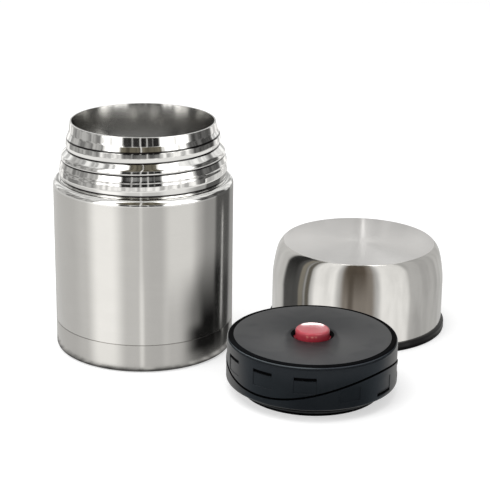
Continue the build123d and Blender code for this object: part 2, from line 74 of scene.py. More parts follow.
Colour = tuple[float, float, float]
Spot = tuple[float, float, float]
Patch = tuple[float, float, float]  # lower height, upper height and depth of a pressed patch
Socket = bpy.types.NodeSocket
Sockets = bpy.types.bpy_prop_collection


class Body(Enum):
    """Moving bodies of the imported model."""

    JAR = "jar"
    STOPPER = "stopper"
    BUTTON = "button"
    LID = "lid"


class Slot(Enum):
    """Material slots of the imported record."""

    BRUSHED = "brushed_steel"
    LINER = "liner_steel"
    LID = "lid_steel"
    BLACK = "black_plastic"
    GLOSS_BLACK = "black_gloss_plastic"
    RED = "red_plastic"
    SPRING = "spring_steel"


# ---- shader nodes
class Sheet:
    """Short ways to add and join the nodes of one material, group or world."""

    def __init__(self, tree: bpy.types.NodeTree) -> None:
        """Starts on an empty tree.

        Args:
            tree: The node tree to fill.
        """
        self.tree = tree
        self.tree.nodes.clear()

    def add(self, kind: str, inputs: dict | None = None, **settings: object) -> bpy.types.Node:
        """Adds a node.

        Args:
            kind: The node's type name.
            inputs: What each socket takes, by name or number: a value or another node's output.
            **settings: Other settings of the node.

        Returns:
            The new node.
        """
        node = self.tree.nodes.new(kind)
        for name, value in settings.items():
            setattr(node, name, value)
        for key, value in (inputs or {}).items():
            if isinstance(value, Socket):
                self.tree.links.new(value, node.inputs[key])
            else:
                node.inputs[key].default_value = value
        return node

    def math(self, operation: str, *values: object) -> Socket:
        """Joins values by one sum.

        Args:
            operation: The Math node's operation.
            *values: Numbers or outputs, in order.

        Returns:
            The result's output.
        """
        return self.add("ShaderNodeMath", dict(enumerate(values)), operation=operation).outputs[0]

    def ramp(self, value: object, low: float, high: float, to_low: object, to_high: object) -> Socket:
        """Maps a range smoothly on another, and holds it at both ends.

        Args:
            value: The number or output to map.
            low: Start of its range.
            high: End of its range.
            to_low: What the start becomes.
            to_high: What the end becomes.

        Returns:
            The mapped output.
        """
        inputs = {"Value": value, "From Min": low, "From Max": high, "To Min": to_low, "To Max": to_high}
        return self.add("ShaderNodeMapRange", inputs, interpolation_type="SMOOTHSTEP").outputs[0]

    def blend(self, factor: object, first: object, second: object) -> Socket:
        """Mixes two colours.

        Args:
            factor: Share of the second colour.
            first: A colour or output.
            second: A colour or output.

        Returns:
            The mixed colour's output.
        """
        ends = [tone if isinstance(tone, Socket) else (*tone, 1.0) for tone in (first, second)]
        return self.add("ShaderNodeMix", {0: factor, 6: ends[0], 7: ends[1]}, data_type="RGBA").outputs[2]

    def noise(self, place: object, scale: float, detail: float = 2.0) -> Socket:
        """Adds a noise value between 0 and 1.

        Args:
            place: The coordinates' output.
            scale: How many features to a unit.
            detail: How many finer layers.

        Returns:
            The noise value's output.
        """
        return self.add("ShaderNodeTexNoise", {"Vector": place, "Scale": scale, "Detail": detail}).outputs[0]


class Effect:
    """A shader node group with named inputs and outputs, built once and used by many finishes."""

    def __init__(self, name: str, inputs: dict[str, float | None], outputs: Sequence[str]) -> None:
        """Makes the empty group.

        Args:
            name: The group's name.
            inputs: Input names with their usual values; None makes a vector.
            outputs: Names of the values that it puts out.
        """
        self.group = bpy.data.node_groups.new(name, "ShaderNodeTree")
        self.sheet = Sheet(self.group)
        for key, value in inputs.items():
            kind = "NodeSocketVector" if value is None else "NodeSocketFloat"
            socket = self.group.interface.new_socket(key, in_out="INPUT", socket_type=kind)
            if value is not None:
                socket.default_value = value
        for key in outputs:
            self.group.interface.new_socket(key, in_out="OUTPUT", socket_type="NodeSocketFloat")
        self.given = self.sheet.add("NodeGroupInput").outputs

    def put_out(self, **results: Socket) -> None:
        """Joins results to the group's outputs, by name."""
        self.sheet.add("NodeGroupOutput", results)

    def use(self, sheet: Sheet, **inputs: object) -> Sockets:
        """Places the group in a material.

        Args:
            sheet: The material's sheet.
            **inputs: What each input takes.

        Returns:
            The placed group's outputs.
        """
        return sheet.add("ShaderNodeGroup", inputs, node_tree=self.group).outputs


def lathe_lines() -> Effect:
    """Fine lines that run round an upright axis, as a turning or brushing tool leaves them."""
    effect = Effect("lathe_lines", {"Place": None, "Turns": 3.0, "Fineness": 3000.0}, ["Lines", "Bands"])
    sheet, given = effect.sheet, effect.given
    parts = sheet.add("ShaderNodeSeparateXYZ", {0: given["Place"]}).outputs
    squares = [sheet.math("POWER", part, 2.0) for part in parts[:2]]
    radius = sheet.math("SQRT", sheet.math("ADD", *squares))
    safe = sheet.math("MAXIMUM", radius, 1e-5)
    level = [sheet.math("MULTIPLY", sheet.math("DIVIDE", part, safe), given["Turns"]) for part in parts[:2]]
    across = sheet.math("SUBTRACT", parts[2], radius)
    found = []
    for fineness, detail in ((given["Fineness"], 3.0), (BAND_FINENESS, 2.0)):
        up = sheet.math("MULTIPLY", across, fineness)
        spot = sheet.add("ShaderNodeCombineXYZ", {0: level[0], 1: level[1], 2: up})
        found.append(sheet.noise(spot.outputs[0], 1.0, detail))
    effect.put_out(Lines=found[0], Bands=found[1])
    return effect


def handling() -> Effect:
    """Faint marks of handling: soft patches with a few clearer smears."""
    effect = Effect("handling", {"Place": None, "Size": 40.0}, ["Marks"])
    sheet, given = effect.sheet, effect.given
    inputs = {"Vector": given["Place"], "Scale": given["Size"], "Detail": 4.0, "Distortion": 0.6}
    soft = sheet.add("ShaderNodeTexNoise", inputs)
    effect.put_out(Marks=sheet.ramp(soft.outputs[0], 0.42, 0.68, 0.0, 1.0))
    return effect


def mould_grain() -> Effect:
    """Fine even grain of a moulded surface, as a height."""
    effect = Effect("mould_grain", {"Place": None, "Grains": 2200.0}, ["Height"])
    sheet, given = effect.sheet, effect.given
    inputs = {"Vector": given["Place"], "Scale": given["Grains"]}
    cells = sheet.add("ShaderNodeTexVoronoi", inputs, feature="SMOOTH_F1")
    fine = sheet.noise(given["Place"], given["Grains"])
    effect.put_out(Height=sheet.math("ADD", cells.outputs["Distance"], fine))
    return effect


def painted_crease_shade() -> Effect:
    """Painted shade: a dark line that winds up the rolled neck in the hollows between its ridges, and a dark
    ring at its root.
    """
    heights = {"Low": 0.1085, "High": 0.1235, "Through": 0.1157, "Climb": 0.0058, "Root": 0.0989}
    effect = Effect("painted_crease_shade", {"Place": None, **heights}, ["Dark"])
    sheet, given = effect.sheet, effect.given
    parts = sheet.add("ShaderNodeSeparateXYZ", {0: given["Place"]}).outputs
    turn = sheet.math("ARCTAN2", parts[0], sheet.math("MULTIPLY", parts[1], -1.0))
    climbed = sheet.math("MULTIPLY", sheet.math("DIVIDE", turn, FULL_TURN), given["Climb"])
    level = sheet.math("SUBTRACT", parts[2], climbed)
    steps = sheet.math("DIVIDE", sheet.math("SUBTRACT", level, given["Through"]), given["Climb"])
    away = sheet.math("ABSOLUTE", sheet.math("SUBTRACT", steps, sheet.math("ROUND", steps)))
    line = sheet.ramp(away, 0.05, 0.11, 1.0, 0.0)
    over = sheet.math("GREATER_THAN", level, given["Low"])
    under = sheet.math("LESS_THAN", level, given["High"])
    wound = sheet.math("MULTIPLY", line, sheet.math("MULTIPLY", over, under))
    from_root = sheet.math("ABSOLUTE", sheet.math("SUBTRACT", parts[2], given["Root"]))
    root = sheet.ramp(from_root, 0.0003, 0.0007, 1.0, 0.0)
    effect.put_out(Dark=sheet.math("MAXIMUM", wound, root))
    return effect


EFFECTS = {"lines": lathe_lines(), "marks": handling(), "grain": mould_grain(), "painted_crease_shade": painted_crease_shade()}


# ---- finishes
def start_material(name: str, centre: Vector) -> tuple[bpy.types.Material, Sheet, Socket]:
    """Starts a material on the object's own coordinates, centred on a piece's axis.

    Args:
        name: The material's name.
        centre: Foot of the piece's axis, in metres.

    Returns:
        The material, its sheet and the centred coordinates.
    """
    material = bpy.data.materials.new(name)
    material.use_nodes = True
    sheet = Sheet(material.node_tree)
    own = sheet.add("ShaderNodeTexCoord").outputs["Object"]
    moved = {"Vector": own, "Location": (-centre.x, -centre.y, 0.0)}
    return material, sheet, sheet.add("ShaderNodeMapping", moved).outputs[0]


def tinted(tone: Colour, factor: float) -> Colour:
    """A tone made lighter or darker by a factor."""
    return tuple(min(1.0, part * factor) for part in tone)


@dataclass(frozen=True)
class Steel:
    """Stainless steel, brushed or polished round an axis."""

    name: str
    tone: Colour
    roughness: float
    anisotropy: float = 0.0
    turns: float = 3.0
    fineness: float = 3000.0
    line_share: float = 0.06
    relief: float = 0.000004
    mark_share: float = 0.03
    crease_shaded: bool = False

    def build(self, centre: Vector) -> bpy.types.Material:
        """Builds the material.

        Args:
            centre: Foot of the piece's axis, in metres.

        Returns:
            The material.
        """
        material, sheet, place = start_material(self.name, centre)
        lines = EFFECTS["lines"].use(sheet, Place=place, Turns=self.turns, Fineness=self.fineness)
        marks = EFFECTS["marks"].use(sheet, Place=place, Size=45.0)
        dull, bright = (tinted(self.tone, 1 + side * self.line_share) for side in (-1, 1))
        lined = sheet.blend(lines["Lines"], dull, bright)
        colour = sheet.blend(sheet.ramp(lines["Bands"], 0.3, 0.7, 0.0, 0.35), lined, tinted(self.tone, 0.94))
        # Painted shade: the colour goes near black along the neck's winding crease line and round its root.
        if self.crease_shaded:
            dark = EFFECTS["painted_crease_shade"].use(sheet, Place=place)["Dark"]
            colour = sheet.blend(dark, colour, tinted(self.tone, 0.05))
        least = self.roughness - self.line_share / 2
        uneven = sheet.math("MULTIPLY_ADD", lines["Lines"], self.line_share, least)
        rough = sheet.math("MULTIPLY_ADD", marks["Marks"], self.mark_share, uneven)
        bump = sheet.add("ShaderNodeBump", {"Height": lines["Lines"], "Distance": self.relief})
        inputs = {
            "Base Color": colour,
            "Metallic": 1.0,
            "Roughness": rough,
            "Anisotropic": self.anisotropy,
            "Anisotropic Rotation": 0.25 if self.anisotropy else 0.0,
            "Normal": bump.outputs[0],
        }
        shader = sheet.add("ShaderNodeBsdfPrincipled", inputs)
        if self.anisotropy:
            tangent = sheet.add("ShaderNodeTangent", direction_type="UV_MAP", uv_map="turned")
            sheet.tree.links.new(tangent.outputs[0], shader.inputs["Tangent"])
        sheet.add("ShaderNodeOutputMaterial", {"Surface": shader.outputs[0]})
        return material


@dataclass(frozen=True)
class Moulded:
    """Moulded plastic, rubber or foam with a fine grain."""

    name: str
    tone: Colour
    roughness: float
    grains: float = 2200.0
    relief: float = 0.00002
    mark_share: float = 0.06
    shine: float = 0.5
    coat: float = 0.0

    def build(self, centre: Vector) -> bpy.types.Material:
        """Builds the material.

        Args:
            centre: Foot of the piece's axis, in metres.

        Returns:
            The material.
        """
        material, sheet, place = start_material(self.name, centre)
        marks = EFFECTS["marks"].use(sheet, Place=place, Size=60.0)
        grain = EFFECTS["grain"].use(sheet, Place=place, Grains=self.grains)
        colour = sheet.blend(marks["Marks"], self.tone, tinted(self.tone, 1.18))
        rough = sheet.math("MULTIPLY_ADD", marks["Marks"], self.mark_share, self.roughness)
        bump = sheet.add("ShaderNodeBump", {"Height": grain["Height"], "Distance": self.relief})
        inputs = {
            "Base Color": colour,
            "Roughness": rough,
            "Normal": bump.outputs[0],
            "Specular IOR Level": self.shine,
            "Coat Weight": self.coat,
            "Coat Roughness": 0.04,
        }
        shader = sheet.add("ShaderNodeBsdfPrincipled", inputs)
        sheet.add("ShaderNodeOutputMaterial", {"Surface": shader.outputs[0]})
        return material


BODY_STEEL = Steel(
    "steel_brushed_round", (0.62, 0.61, 0.59), 0.20, anisotropy=0.6, line_share=0.03, relief=0.000001
)
# Painted shade: a darker copy of the body's brushed steel, which makes the base cup a darker band at the
# foot.
SHADED_BASE_STEEL = Steel(
    "steel_brushed_base_shaded", (0.57, 0.56, 0.54), 0.20, anisotropy=0.6, line_share=0.03, relief=0.000001
)
# The polished neck's finish carries painted shade along its crease line.
NECK_STEEL = Steel(
    "steel_polished_neck", (0.74, 0.735, 0.72), 0.05, line_share=0.02, relief=0.000001, crease_shaded=True
)
LINER_STEEL = Steel("steel_liner_satin", (0.60, 0.595, 0.58), 0.16, anisotropy=0.4, line_share=0.04)
LID_SIDE_STEEL = Steel(
    "steel_lid_side", (0.66, 0.65, 0.63), 0.11, anisotropy=0.3, line_share=0.02, relief=0.0000008
)
LID_TOP_STEEL = Steel(
    "steel_lid_top",
    (0.68, 0.67, 0.66),
    0.30,
    anisotropy=0.8,
    fineness=5000.0,
    line_share=0.03,
    relief=0.000001,
)
SHEET_STEEL = Steel("steel_plain_sheet", (0.55, 0.55, 0.54), 0.32, turns=30.0, fineness=200.0)
FOIL = Steel("foil_bright", (0.85, 0.85, 0.86), 0.12, turns=40.0, fineness=300.0, relief=0.00004)
WIRE = Steel("spring_wire", (0.70, 0.70, 0.71), 0.18, turns=60.0, fineness=900.0)
GETTER = Moulded("getter_powder", (0.30, 0.30, 0.31), 0.85, grains=4000.0, relief=0.00006)
SOLDER = Moulded("solder_glass", (0.20, 0.23, 0.22), 0.12, grains=600.0, coat=0.6)
BLACK = Moulded("plastic_black_satin", (0.008, 0.0088, 0.0105), 0.42, relief=0.000012)
GLOSS_BLACK = Moulded("plastic_black_gloss", (0.005, 0.005, 0.0055), 0.12, relief=0.000003, shine=0.22)
RED = Moulded("plastic_red_clear", (0.44, 0.04, 0.06), 0.2, grains=500.0, relief=0.00001, coat=0.6)
WHITE = Moulded("plastic_white", (0.78, 0.78, 0.76), 0.4)
SILICONE = Moulded("silicone_black", (0.022, 0.022, 0.024), 0.62, relief=0.000008)
BLACK_EDGE = Moulded("plastic_black_edge", (0.008, 0.0088, 0.0105), 0.24, relief=0.000006)
# Painted shade: a near-black, almost unshiny copy of the black plastic, laid where shade falls in slots, gaps
# and round the button's hole, and as a painted dark reflection on the stopper's top edge.
PAINTED_SHADE = Moulded("black_painted_shade", (0.0015, 0.0015, 0.0018), 0.9, shine=0.06)
FOAM = Moulded("foam_white", (0.88, 0.88, 0.86), 0.9, grains=900.0, relief=0.0002)

NODE_FINISHES = {
    "shell_bottom": SHEET_STEEL,
    "getter_clip": SHEET_STEEL,
    "getter_pill": GETTER,
    "vacuum_seal": SOLDER,
    "reflective_foil": FOIL,
    "plug_insulation": FOAM,
    "rim_gasket": SILICONE,
    "plug_seal": SILICONE,
    "valve_seal": SILICONE,
    "valve_stem": WHITE,
}


# ---- turned work
class Corner(NamedTuple):
    """Corner of a turned outline: its radius, its height, and the radius that rounds it."""

    r: float
    z: float
    rounding: float = 0.0


@dataclass(frozen=True)
class Place:
    """Where a piece stands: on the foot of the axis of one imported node."""

    node: str

    @property
    def centre(self) -> Vector:
        """Foot of the upright axis, in metres."""
        low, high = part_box(self.node)
        return Vector(((low.x + high.x) / 2, (low.y + high.y) / 2, 0.0))


JAR_PLACE = Place("base_cup")
STOPPER_PLACE = Place("rim_gasket")
LID_PLACE = Place("lid_inner_cup")


def front_angle(point: Vector) -> float:
    """Angle of a point about the upright axis, in degrees from the front to the right."""
    return math.degrees(math.atan2(point.x, -point.y))


def off_axis(point: Vector) -> float:
    """Distance of a point from the upright axis."""
    return math.hypot(point.x, point.y)


def spin(mesh: bmesh.types.BMesh, steps: int, turns: int = 1, lift: float = 0.0) -> None:
    """Turns a mesh's points and edges round the upright axis, or winds them up it.

    Args:
        mesh: The mesh.
        steps: Steps on the whole way round.
        turns: Whole turns.
        lift: How far each step climbs.
    """
    bmesh.ops.spin(
        mesh,
        geom=mesh.verts[:] + mesh.edges[:],
        cent=ORIGIN,
        axis=UPWARD,
        dvec=(0.0, 0.0, lift),
        angle=turns * FULL_TURN,
        steps=steps,
        use_merge=not lift,
        use_duplicate=False,
    )


def put_in_scene(name: str, data: bpy.types.ID) -> bpy.types.Object:
    """Makes an object of its data and links it to the scene.

    Args:
        name: The object's name.
        data: Its mesh, light or camera.

    Returns:
        The object.
    """
    thing = bpy.data.objects.new(name, data)
    bpy.context.scene.collection.objects.link(thing)
    return thing


def mesh_of(name: str, work: bmesh.types.BMesh) -> bpy.types.Mesh:
    """Turns worked geometry into an object's mesh, and lets the geometry go.

    Args:
        name: The mesh's name.
        work: The geometry.

    Returns:
        The mesh.
    """
    mesh = bpy.data.meshes.new(name)
    work.to_mesh(mesh)
    work.free()
    return mesh


def turn_between(angle: float, middle: float) -> float:
    """Angle left from a middle, in degrees between -180 and 180."""
    return (angle - middle + 180.0) % 360.0 - 180.0


class Turned:
    """A closed outline turned round an upright axis, and then worked on."""

    def __init__(self, rows: Sequence[tuple], steps: int = BAR_STEPS, start_deg: float = 0.0) -> None:
        """Rounds the outline's corners and turns it.

        Args:
            rows: Its corners in order, each as a Corner's values; the last joins the first.
            steps: Faces round the axis.
            start_deg: Where the first row of points lies.
        """
        outline = [Corner(*row) for row in rows]
        self.mesh = bmesh.new()
        points = [self.mesh.verts.new((corner.r, 0.0, corner.z)) for corner in outline]
        for first, second in zip(points, points[1:] + points[:1]):
            self.mesh.edges.new((first, second))
        cuts = [self._cut(outline, number) for number in range(len(outline))]
        for point, cut, corner in zip(points, cuts, outline):
            if cut > 0:
                segments = max(3, min(12, round(corner.rounding * 4)))
                self._round(point, cut, segments)
        start = Matrix.Rotation(math.radians(start_deg), 3, "Z")
        bmesh.ops.rotate(self.mesh, verts=self.mesh.verts[:], cent=ORIGIN, matrix=start)
        spin(self.mesh, steps)
        self.clean()

    @staticmethod
    def _cut(outline: Sequence[Corner], number: int) -> float:
        """Length that a corner's rounding takes from each of its two sides.

        Args:
            outline: All corners in order.
            number: The corner's number among them.

        Returns:
            The length, 0 for a sharp corner.
        """
        here = outline[number]
        if not here.rounding:
            return 0.0
        before, after = outline[number - 1], outline[(number + 1) % len(outline)]
        one = Vector((before.r - here.r, before.z - here.z))
        two = Vector((after.r - here.r, after.z - here.z))
        return here.rounding / math.tan(one.angle(two) / 2)

    def _round(self, point: bmesh.types.BMVert, cut: float, segments: int) -> None:
        """Rounds one corner of the outline.

        Args:
            point: The corner.
            cut: Length taken from each side.
            segments: Pieces of the rounding.
        """
        bmesh.ops.bevel(
            self.mesh,
            geom=[point],
            offset=cut,
            offset_type="OFFSET",
            affect="VERTICES",
            segments=segments,
            profile=0.5,
            material=-1,
            clamp_overlap=False,
        )

    def clean(self) -> None:
        """Merges doubles and turns every face outwards."""
        bmesh.ops.remove_doubles(self.mesh, verts=self.mesh.verts[:], dist=1e-4)
        bmesh.ops.recalc_face_normals(self.mesh, faces=self.mesh.faces[:])

    def faces(self, test: Callable[[Vector], bool]) -> list[bmesh.types.BMFace]:
        """Faces whose middle passes a test."""
        return [face for face in self.mesh.faces if test(face.calc_center_median())]

    def press(self, faces: list[bmesh.types.BMFace], slope: float, depth: float) -> None:
        """Presses a patch inwards with sloping walls.

        Args:
            faces: The patch.
            slope: Width of the sloping wall.
            depth: How deep it goes.
        """
        bmesh.ops.inset_region(
            self.mesh,
            faces=faces,
            use_boundary=True,
            use_even_offset=True,
            thickness=slope,
            depth=-depth,
        )

    def move(self, change: Callable[[Vector], Vector]) -> None:
        """Moves every point by a rule."""
        for vert in self.mesh.verts:
            vert.co = change(vert.co)

    def paint(self, number: int, test: Callable[[Vector], bool]) -> None:
        """Gives the faces whose middle passes a test another of the piece's finishes."""
        for face in self.faces(test):
            face.material_index = number

    def wrap(self) -> None:
        """Lays a UV map whose U runs round the axis."""
        layer = self.mesh.loops.layers.uv.new("turned")
        for face in self.mesh.faces:
            middle = face.calc_center_median()
            centre_turn = math.atan2(middle.y, middle.x)
            for loop in face.loops:
                spot = loop.vert.co
                radius = off_axis(spot)
                turn = math.atan2(spot.y, spot.x) if radius > 1e-3 else centre_turn
                turn -= FULL_TURN * round((turn - centre_turn) / FULL_TURN)
                loop[layer].uv = (turn / FULL_TURN, (spot.z - radius) / 100)


class Coil(Turned):
    """A round wire wound up an upright axis, closed at both ends."""

    def __init__(self, coil_r: float, wire_r: float, low_z: float, high_z: float, turns: int) -> None:
        """Winds the wire.

        Args:
            coil_r: Radius from the axis to the wire's middle.
            wire_r: Radius of the wire.
            low_z: Height of the wire's middle where it begins.
            high_z: Height of the wire's middle where it ends.
            turns: Whole turns.
        """
        self.mesh = bmesh.new()
        bmesh.ops.create_circle(self.mesh, cap_ends=False, segments=WIRE_SIDES, radius=wire_r)
        upright = Matrix.Rotation(math.pi / 2, 3, "X")
        bmesh.ops.rotate(self.mesh, verts=self.mesh.verts[:], cent=ORIGIN, matrix=upright)
        bmesh.ops.translate(self.mesh, verts=self.mesh.verts[:], vec=(coil_r, 0.0, low_z))
        steps = turns * COIL_STEPS
        spin(self.mesh, steps, turns, (high_z - low_z) / steps)
        bmesh.ops.holes_fill(self.mesh, edges=[edge for edge in self.mesh.edges if edge.is_boundary], sides=0)
        bmesh.ops.recalc_face_normals(self.mesh, faces=self.mesh.faces[:])


@dataclass
class Made:
    """A finished piece's dress: name, body, slot, finishes and the nodes that it stands for."""

    name: str
    body: Body
    slot: Slot
    place: Place
    finishes: Sequence[Steel | Moulded]
    replaces: Sequence[str] = ()
    sharp_deg: float = 32.0

    def finish(self, work: Turned) -> bpy.types.Object:
        """Makes the worked mesh an object of the scene.

        Args:
            work: The piece in millimetres about its own axis.

        Returns:
            The object, at the origin with its place in its mesh.
        """
        work.wrap()
        centre = self.place.centre
        bmesh.ops.scale(work.mesh, vec=(MM, MM, MM), verts=work.mesh.verts[:])
        bmesh.ops.translate(work.mesh, vec=centre, verts=work.mesh.verts[:])
        mesh = mesh_of(self.name, work.mesh)
        mesh.shade_smooth()
        mesh.set_sharp_from_angle(angle=math.radians(self.sharp_deg))
        for finish in self.finishes:
            mesh.materials.append(finish.build(centre))
        piece = put_in_scene(self.name, mesh)
        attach(piece, self.body.value)
        if self.replaces:
            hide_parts(*self.replaces)
        LOG.info("%s: %d faces on %s", self.name, len(mesh.polygons), self.body.value)
        return piece


# ---- jar
NECK = (  # ridges and grooves of the rolled neck at the front, from the rim down
    Corner(40.1, 129.5), Corner(40.8, 124.7), Corner(42.4, 121.3), Corner(42.7, 118.0),
    Corner(42.0, 115.7), Corner(44.9, 112.5), Corner(45.3, 110.7), Corner(45.1, 109.9),
    Corner(46.2, 106.6), Corner(46.25, 105.5), Corner(46.5, 104.6), Corner(46.7, 101.6),
    Corner(45.9, 97.7),
)


@dataclass
class Jar:
    """The jar: its shell with the rolled neck, its liner and its base cup."""

    mouth_r: float = 39.2
    rim_r: float = 40.1
    rim_z: float = 129.5
    root_r: float = 45.9
    shoulder_z: float = 97.7
    shoulder_round: float = 3.7
    body_r: float = 50.0
    wall: float = 0.5
    seam_z: float = 16.25
    base_h: float = 15.85
    vessel_r: float = 49.45
    vessel_z: float = 3.4
    liner_r: float = 43.9
    liner_wall: float = 0.4
    flare_z: float = 104.5
    wide_z: float = 91.5
    flare_round: float = 13.0
    weld_z: float = 18.5
    floor_z: float = 9.0
    floor_round: float = 7.0
    polish_z: float = 94.2
    ring_r: float = 43.5
    dish: float = 1.2
    base_round: float = 2.5
    neck: Sequence[Corner] = NECK
    neck_rows: int = 124
    thread_climb: float = 5.8
    run_out_deg: float = 30.0

    def neck_r(self, z: float) -> float:
        """Radius of the neck's outer face at the front, its ridges softly rounded.

        Args:
            z: The height.

        Returns:
            The radius.
        """
        total, reach = 0.0, 2
        for step in range(-reach, reach + 1):
            here = min(max(z + 0.2 * step, self.neck[-1].z), self.neck[0].z)
            for upper, lower in zip(self.neck, self.neck[1:]):
                if here >= lower.z:
                    total += upper.r + (upper.z - here) / (upper.z - lower.z) * (lower.r - upper.r)
                    break
        return total / (2 * reach + 1)

    def climb(self, spot: Vector) -> Vector:
        """Lets the neck's ridges climb to the right, and run into one another at the back.

        Args:
            spot: A point of the shell, before.

        Returns:
            The point, moved if it lies on the neck.
        """
        if not self.shoulder_z < spot.z < self.rim_z - 0.4:
            return spot
        radius, turn = off_axis(spot), front_angle(spot)
        away = radius - self.neck_r(spot.z)
        if away < -1.5 * self.wall:
            return spot
        zone = min(1.0, (self.rim_z - 1.0 - spot.z) / 7, (spot.z - self.shoulder_z) / 5)
        rise = self.thread_climb * max(zone, 0.0)
        share = max(0.0, (abs(turn) - 180 + self.run_out_deg) / self.run_out_deg / 2)
        own = self.neck_r(spot.z - rise * turn / 360)
        other = self.neck_r(spot.z - rise * (turn - math.copysign(360, turn)) / 360)
        factor = (own + share * (other - own) + away) / radius
        return Vector((spot.x * factor, spot.y * factor, spot.z))

    def shell(self) -> None:
        """Brushed cylinder with its shoulder and its polished, rolled neck."""
        top, foot = self.rim_z - 0.6, self.shoulder_z + 0.3
        heights = [top + (foot - top) * row / self.neck_rows for row in range(self.neck_rows + 1)]
        outer = [Corner(self.neck_r(z), z) for z in heights]
        inner = [Corner(corner.r - self.wall, corner.z) for corner in reversed(outer)]
        side, under_z = self.body_r - self.wall, self.shoulder_z - self.wall
        outline = [
            (self.mouth_r + self.liner_wall, self.rim_z), (self.rim_r, self.rim_z, 0.3), *outer,
            (self.root_r, self.shoulder_z, 0.15), (self.body_r, self.shoulder_z, self.shoulder_round),
            (self.body_r, self.seam_z, 0.12), (self.vessel_r, self.seam_z),
            (self.vessel_r, self.vessel_z), (self.vessel_r - self.wall, self.vessel_z),
            (self.vessel_r - self.wall, self.seam_z + self.wall), (side, self.seam_z + self.wall),
            (side, under_z, self.shoulder_round - self.wall), (self.root_r - self.wall, under_z),
            *inner,
        ]
        work = Turned(outline)
        work.move(self.climb)
        work.paint(1, lambda spot: spot.z > self.polish_z)
        made = Made("jar_shell", Body.JAR, Slot.BRUSHED, JAR_PLACE, [BODY_STEEL, NECK_STEEL], ["outer_shell"])
        made.finish(work)

    def liner(self) -> None:
        """Inner wall of the vessel, straight in the mouth and wider below."""
        wide_r = self.liner_r - self.liner_wall
        outline = [
            (self.mouth_r, self.rim_z, 0.15), (self.mouth_r, self.flare_z, self.flare_round),
            (wide_r, self.wide_z, self.flare_round), (wide_r, self.weld_z), (self.liner_r, self.weld_z),
            (self.liner_r, self.wide_z, self.flare_round),
            (self.mouth_r + self.liner_wall, self.flare_z, self.flare_round),
            (self.mouth_r + self.liner_wall, self.rim_z),
        ]
        made = Made("jar_liner", Body.JAR, Slot.LINER, JAR_PLACE, [LINER_STEEL], ["inner_liner"])
        made.finish(Turned(outline))

    def liner_floor(self) -> None:
        """Round-cornered bottom of the liner."""
        inner_r = self.liner_r - self.liner_wall
        inner_z = self.floor_z + self.liner_wall
        outline = [
            (0.0, self.floor_z), (self.liner_r, self.floor_z, self.floor_round),
            (self.liner_r, self.weld_z), (inner_r, self.weld_z),
            (inner_r, inner_z, self.floor_round - self.liner_wall), (0.0, inner_z),
        ]
        made = Made("jar_liner_floor", Body.JAR, Slot.LINER, JAR_PLACE, [LINER_STEEL], ["liner_bottom"])
        made.finish(Turned(outline))

    def base(self) -> None:
        """Cup under the seam, on whose ring the jar stands."""
        outline = [
            (0.0, self.dish), (self.ring_r - self.dish, self.dish, 0.6), (self.ring_r, 0.0, 0.5),
            (self.body_r, 0.0, self.base_round), (self.body_r, self.base_h, 0.15),
            (self.body_r - self.wall, self.base_h), (self.body_r - self.wall, self.base_round),
            (self.body_r - self.base_round, self.wall), (self.ring_r, self.wall),
            (self.ring_r - self.dish, self.dish + self.wall), (0.0, self.dish + self.wall),
        ]
        made = Made("jar_base", Body.JAR, Slot.BRUSHED, JAR_PLACE, [SHADED_BASE_STEEL], ["base_cup"])
        made.finish(Turned(outline))

    def build(self) -> None:
        """Builds every visible piece of the jar."""
        self.shell()
        self.liner()
        self.liner_floor()
        self.base()


# ---- stopper
PAD_SLOPE = 0.15  # width of a pad's sloping wall
SLOT_SLOPE = 0.05  # and of a slot's
# The stopper's finishes, by number: black plastic, painted shade, and smoother black plastic for the edges.
COVER_FINISHES = (BLACK, PAINTED_SHADE, BLACK_EDGE)


@dataclass
class Grip:
    """Grip pads and slots round the stopper, and the wavy line that parts its two pieces."""

    mean_z: float = 15.8
    rise: float = 5.8
    crest_deg: float = 52.0
    first_deg: float = -6.0
    count: int = 12
    width_deg: float = 15.0
    slot_width_deg: float = 14.4
    slot_h: float = 1.8

    def line(self, angle: float) -> float:
        """Height of the wavy line at an angle to the right of the front."""
        return self.mean_z + self.rise * math.cos(2 * math.radians(angle - self.crest_deg))

    def middles(self, upper: bool) -> list[float]:
        """Middles of the pads above the line, or of those below it."""
        turns = [self.first_deg + number * 360 / self.count for number in range(self.count)]
        return [turn for turn in turns if (self.line(turn) < self.mean_z) == upper]

    def press(self, work: Turned, middle: float, pad: Patch, slot: Patch | None, radius: float) -> None:
        """Presses a pad into the outer wall, and a slot where there is room, whose faces get painted shade.

        Args:
            work: The piece.
            middle: Middle of both, in degrees from the front.
            pad: The pad.
            slot: The slot, or None.
            radius: The least radius that counts as the outer wall.
        """
        patches = ((pad, self.width_deg, PAD_SLOPE), (slot, self.slot_width_deg, SLOT_SLOPE))
        for wanted, width, slope in patches:
            if wanted is None:
                continue
            low, high, depth = wanted
            faces = [
                face
                for face in work.faces(lambda spot: low < spot.z < high and off_axis(spot) > radius)
                if abs(turn_between(front_angle(face.calc_center_median()), middle)) < width / 2
            ]
            work.press(faces, slope, depth)
            # Painted shade: the slot's faces take the near-black shade finish.
            if wanted is slot:
                for face in faces:
                    face.material_index = 1


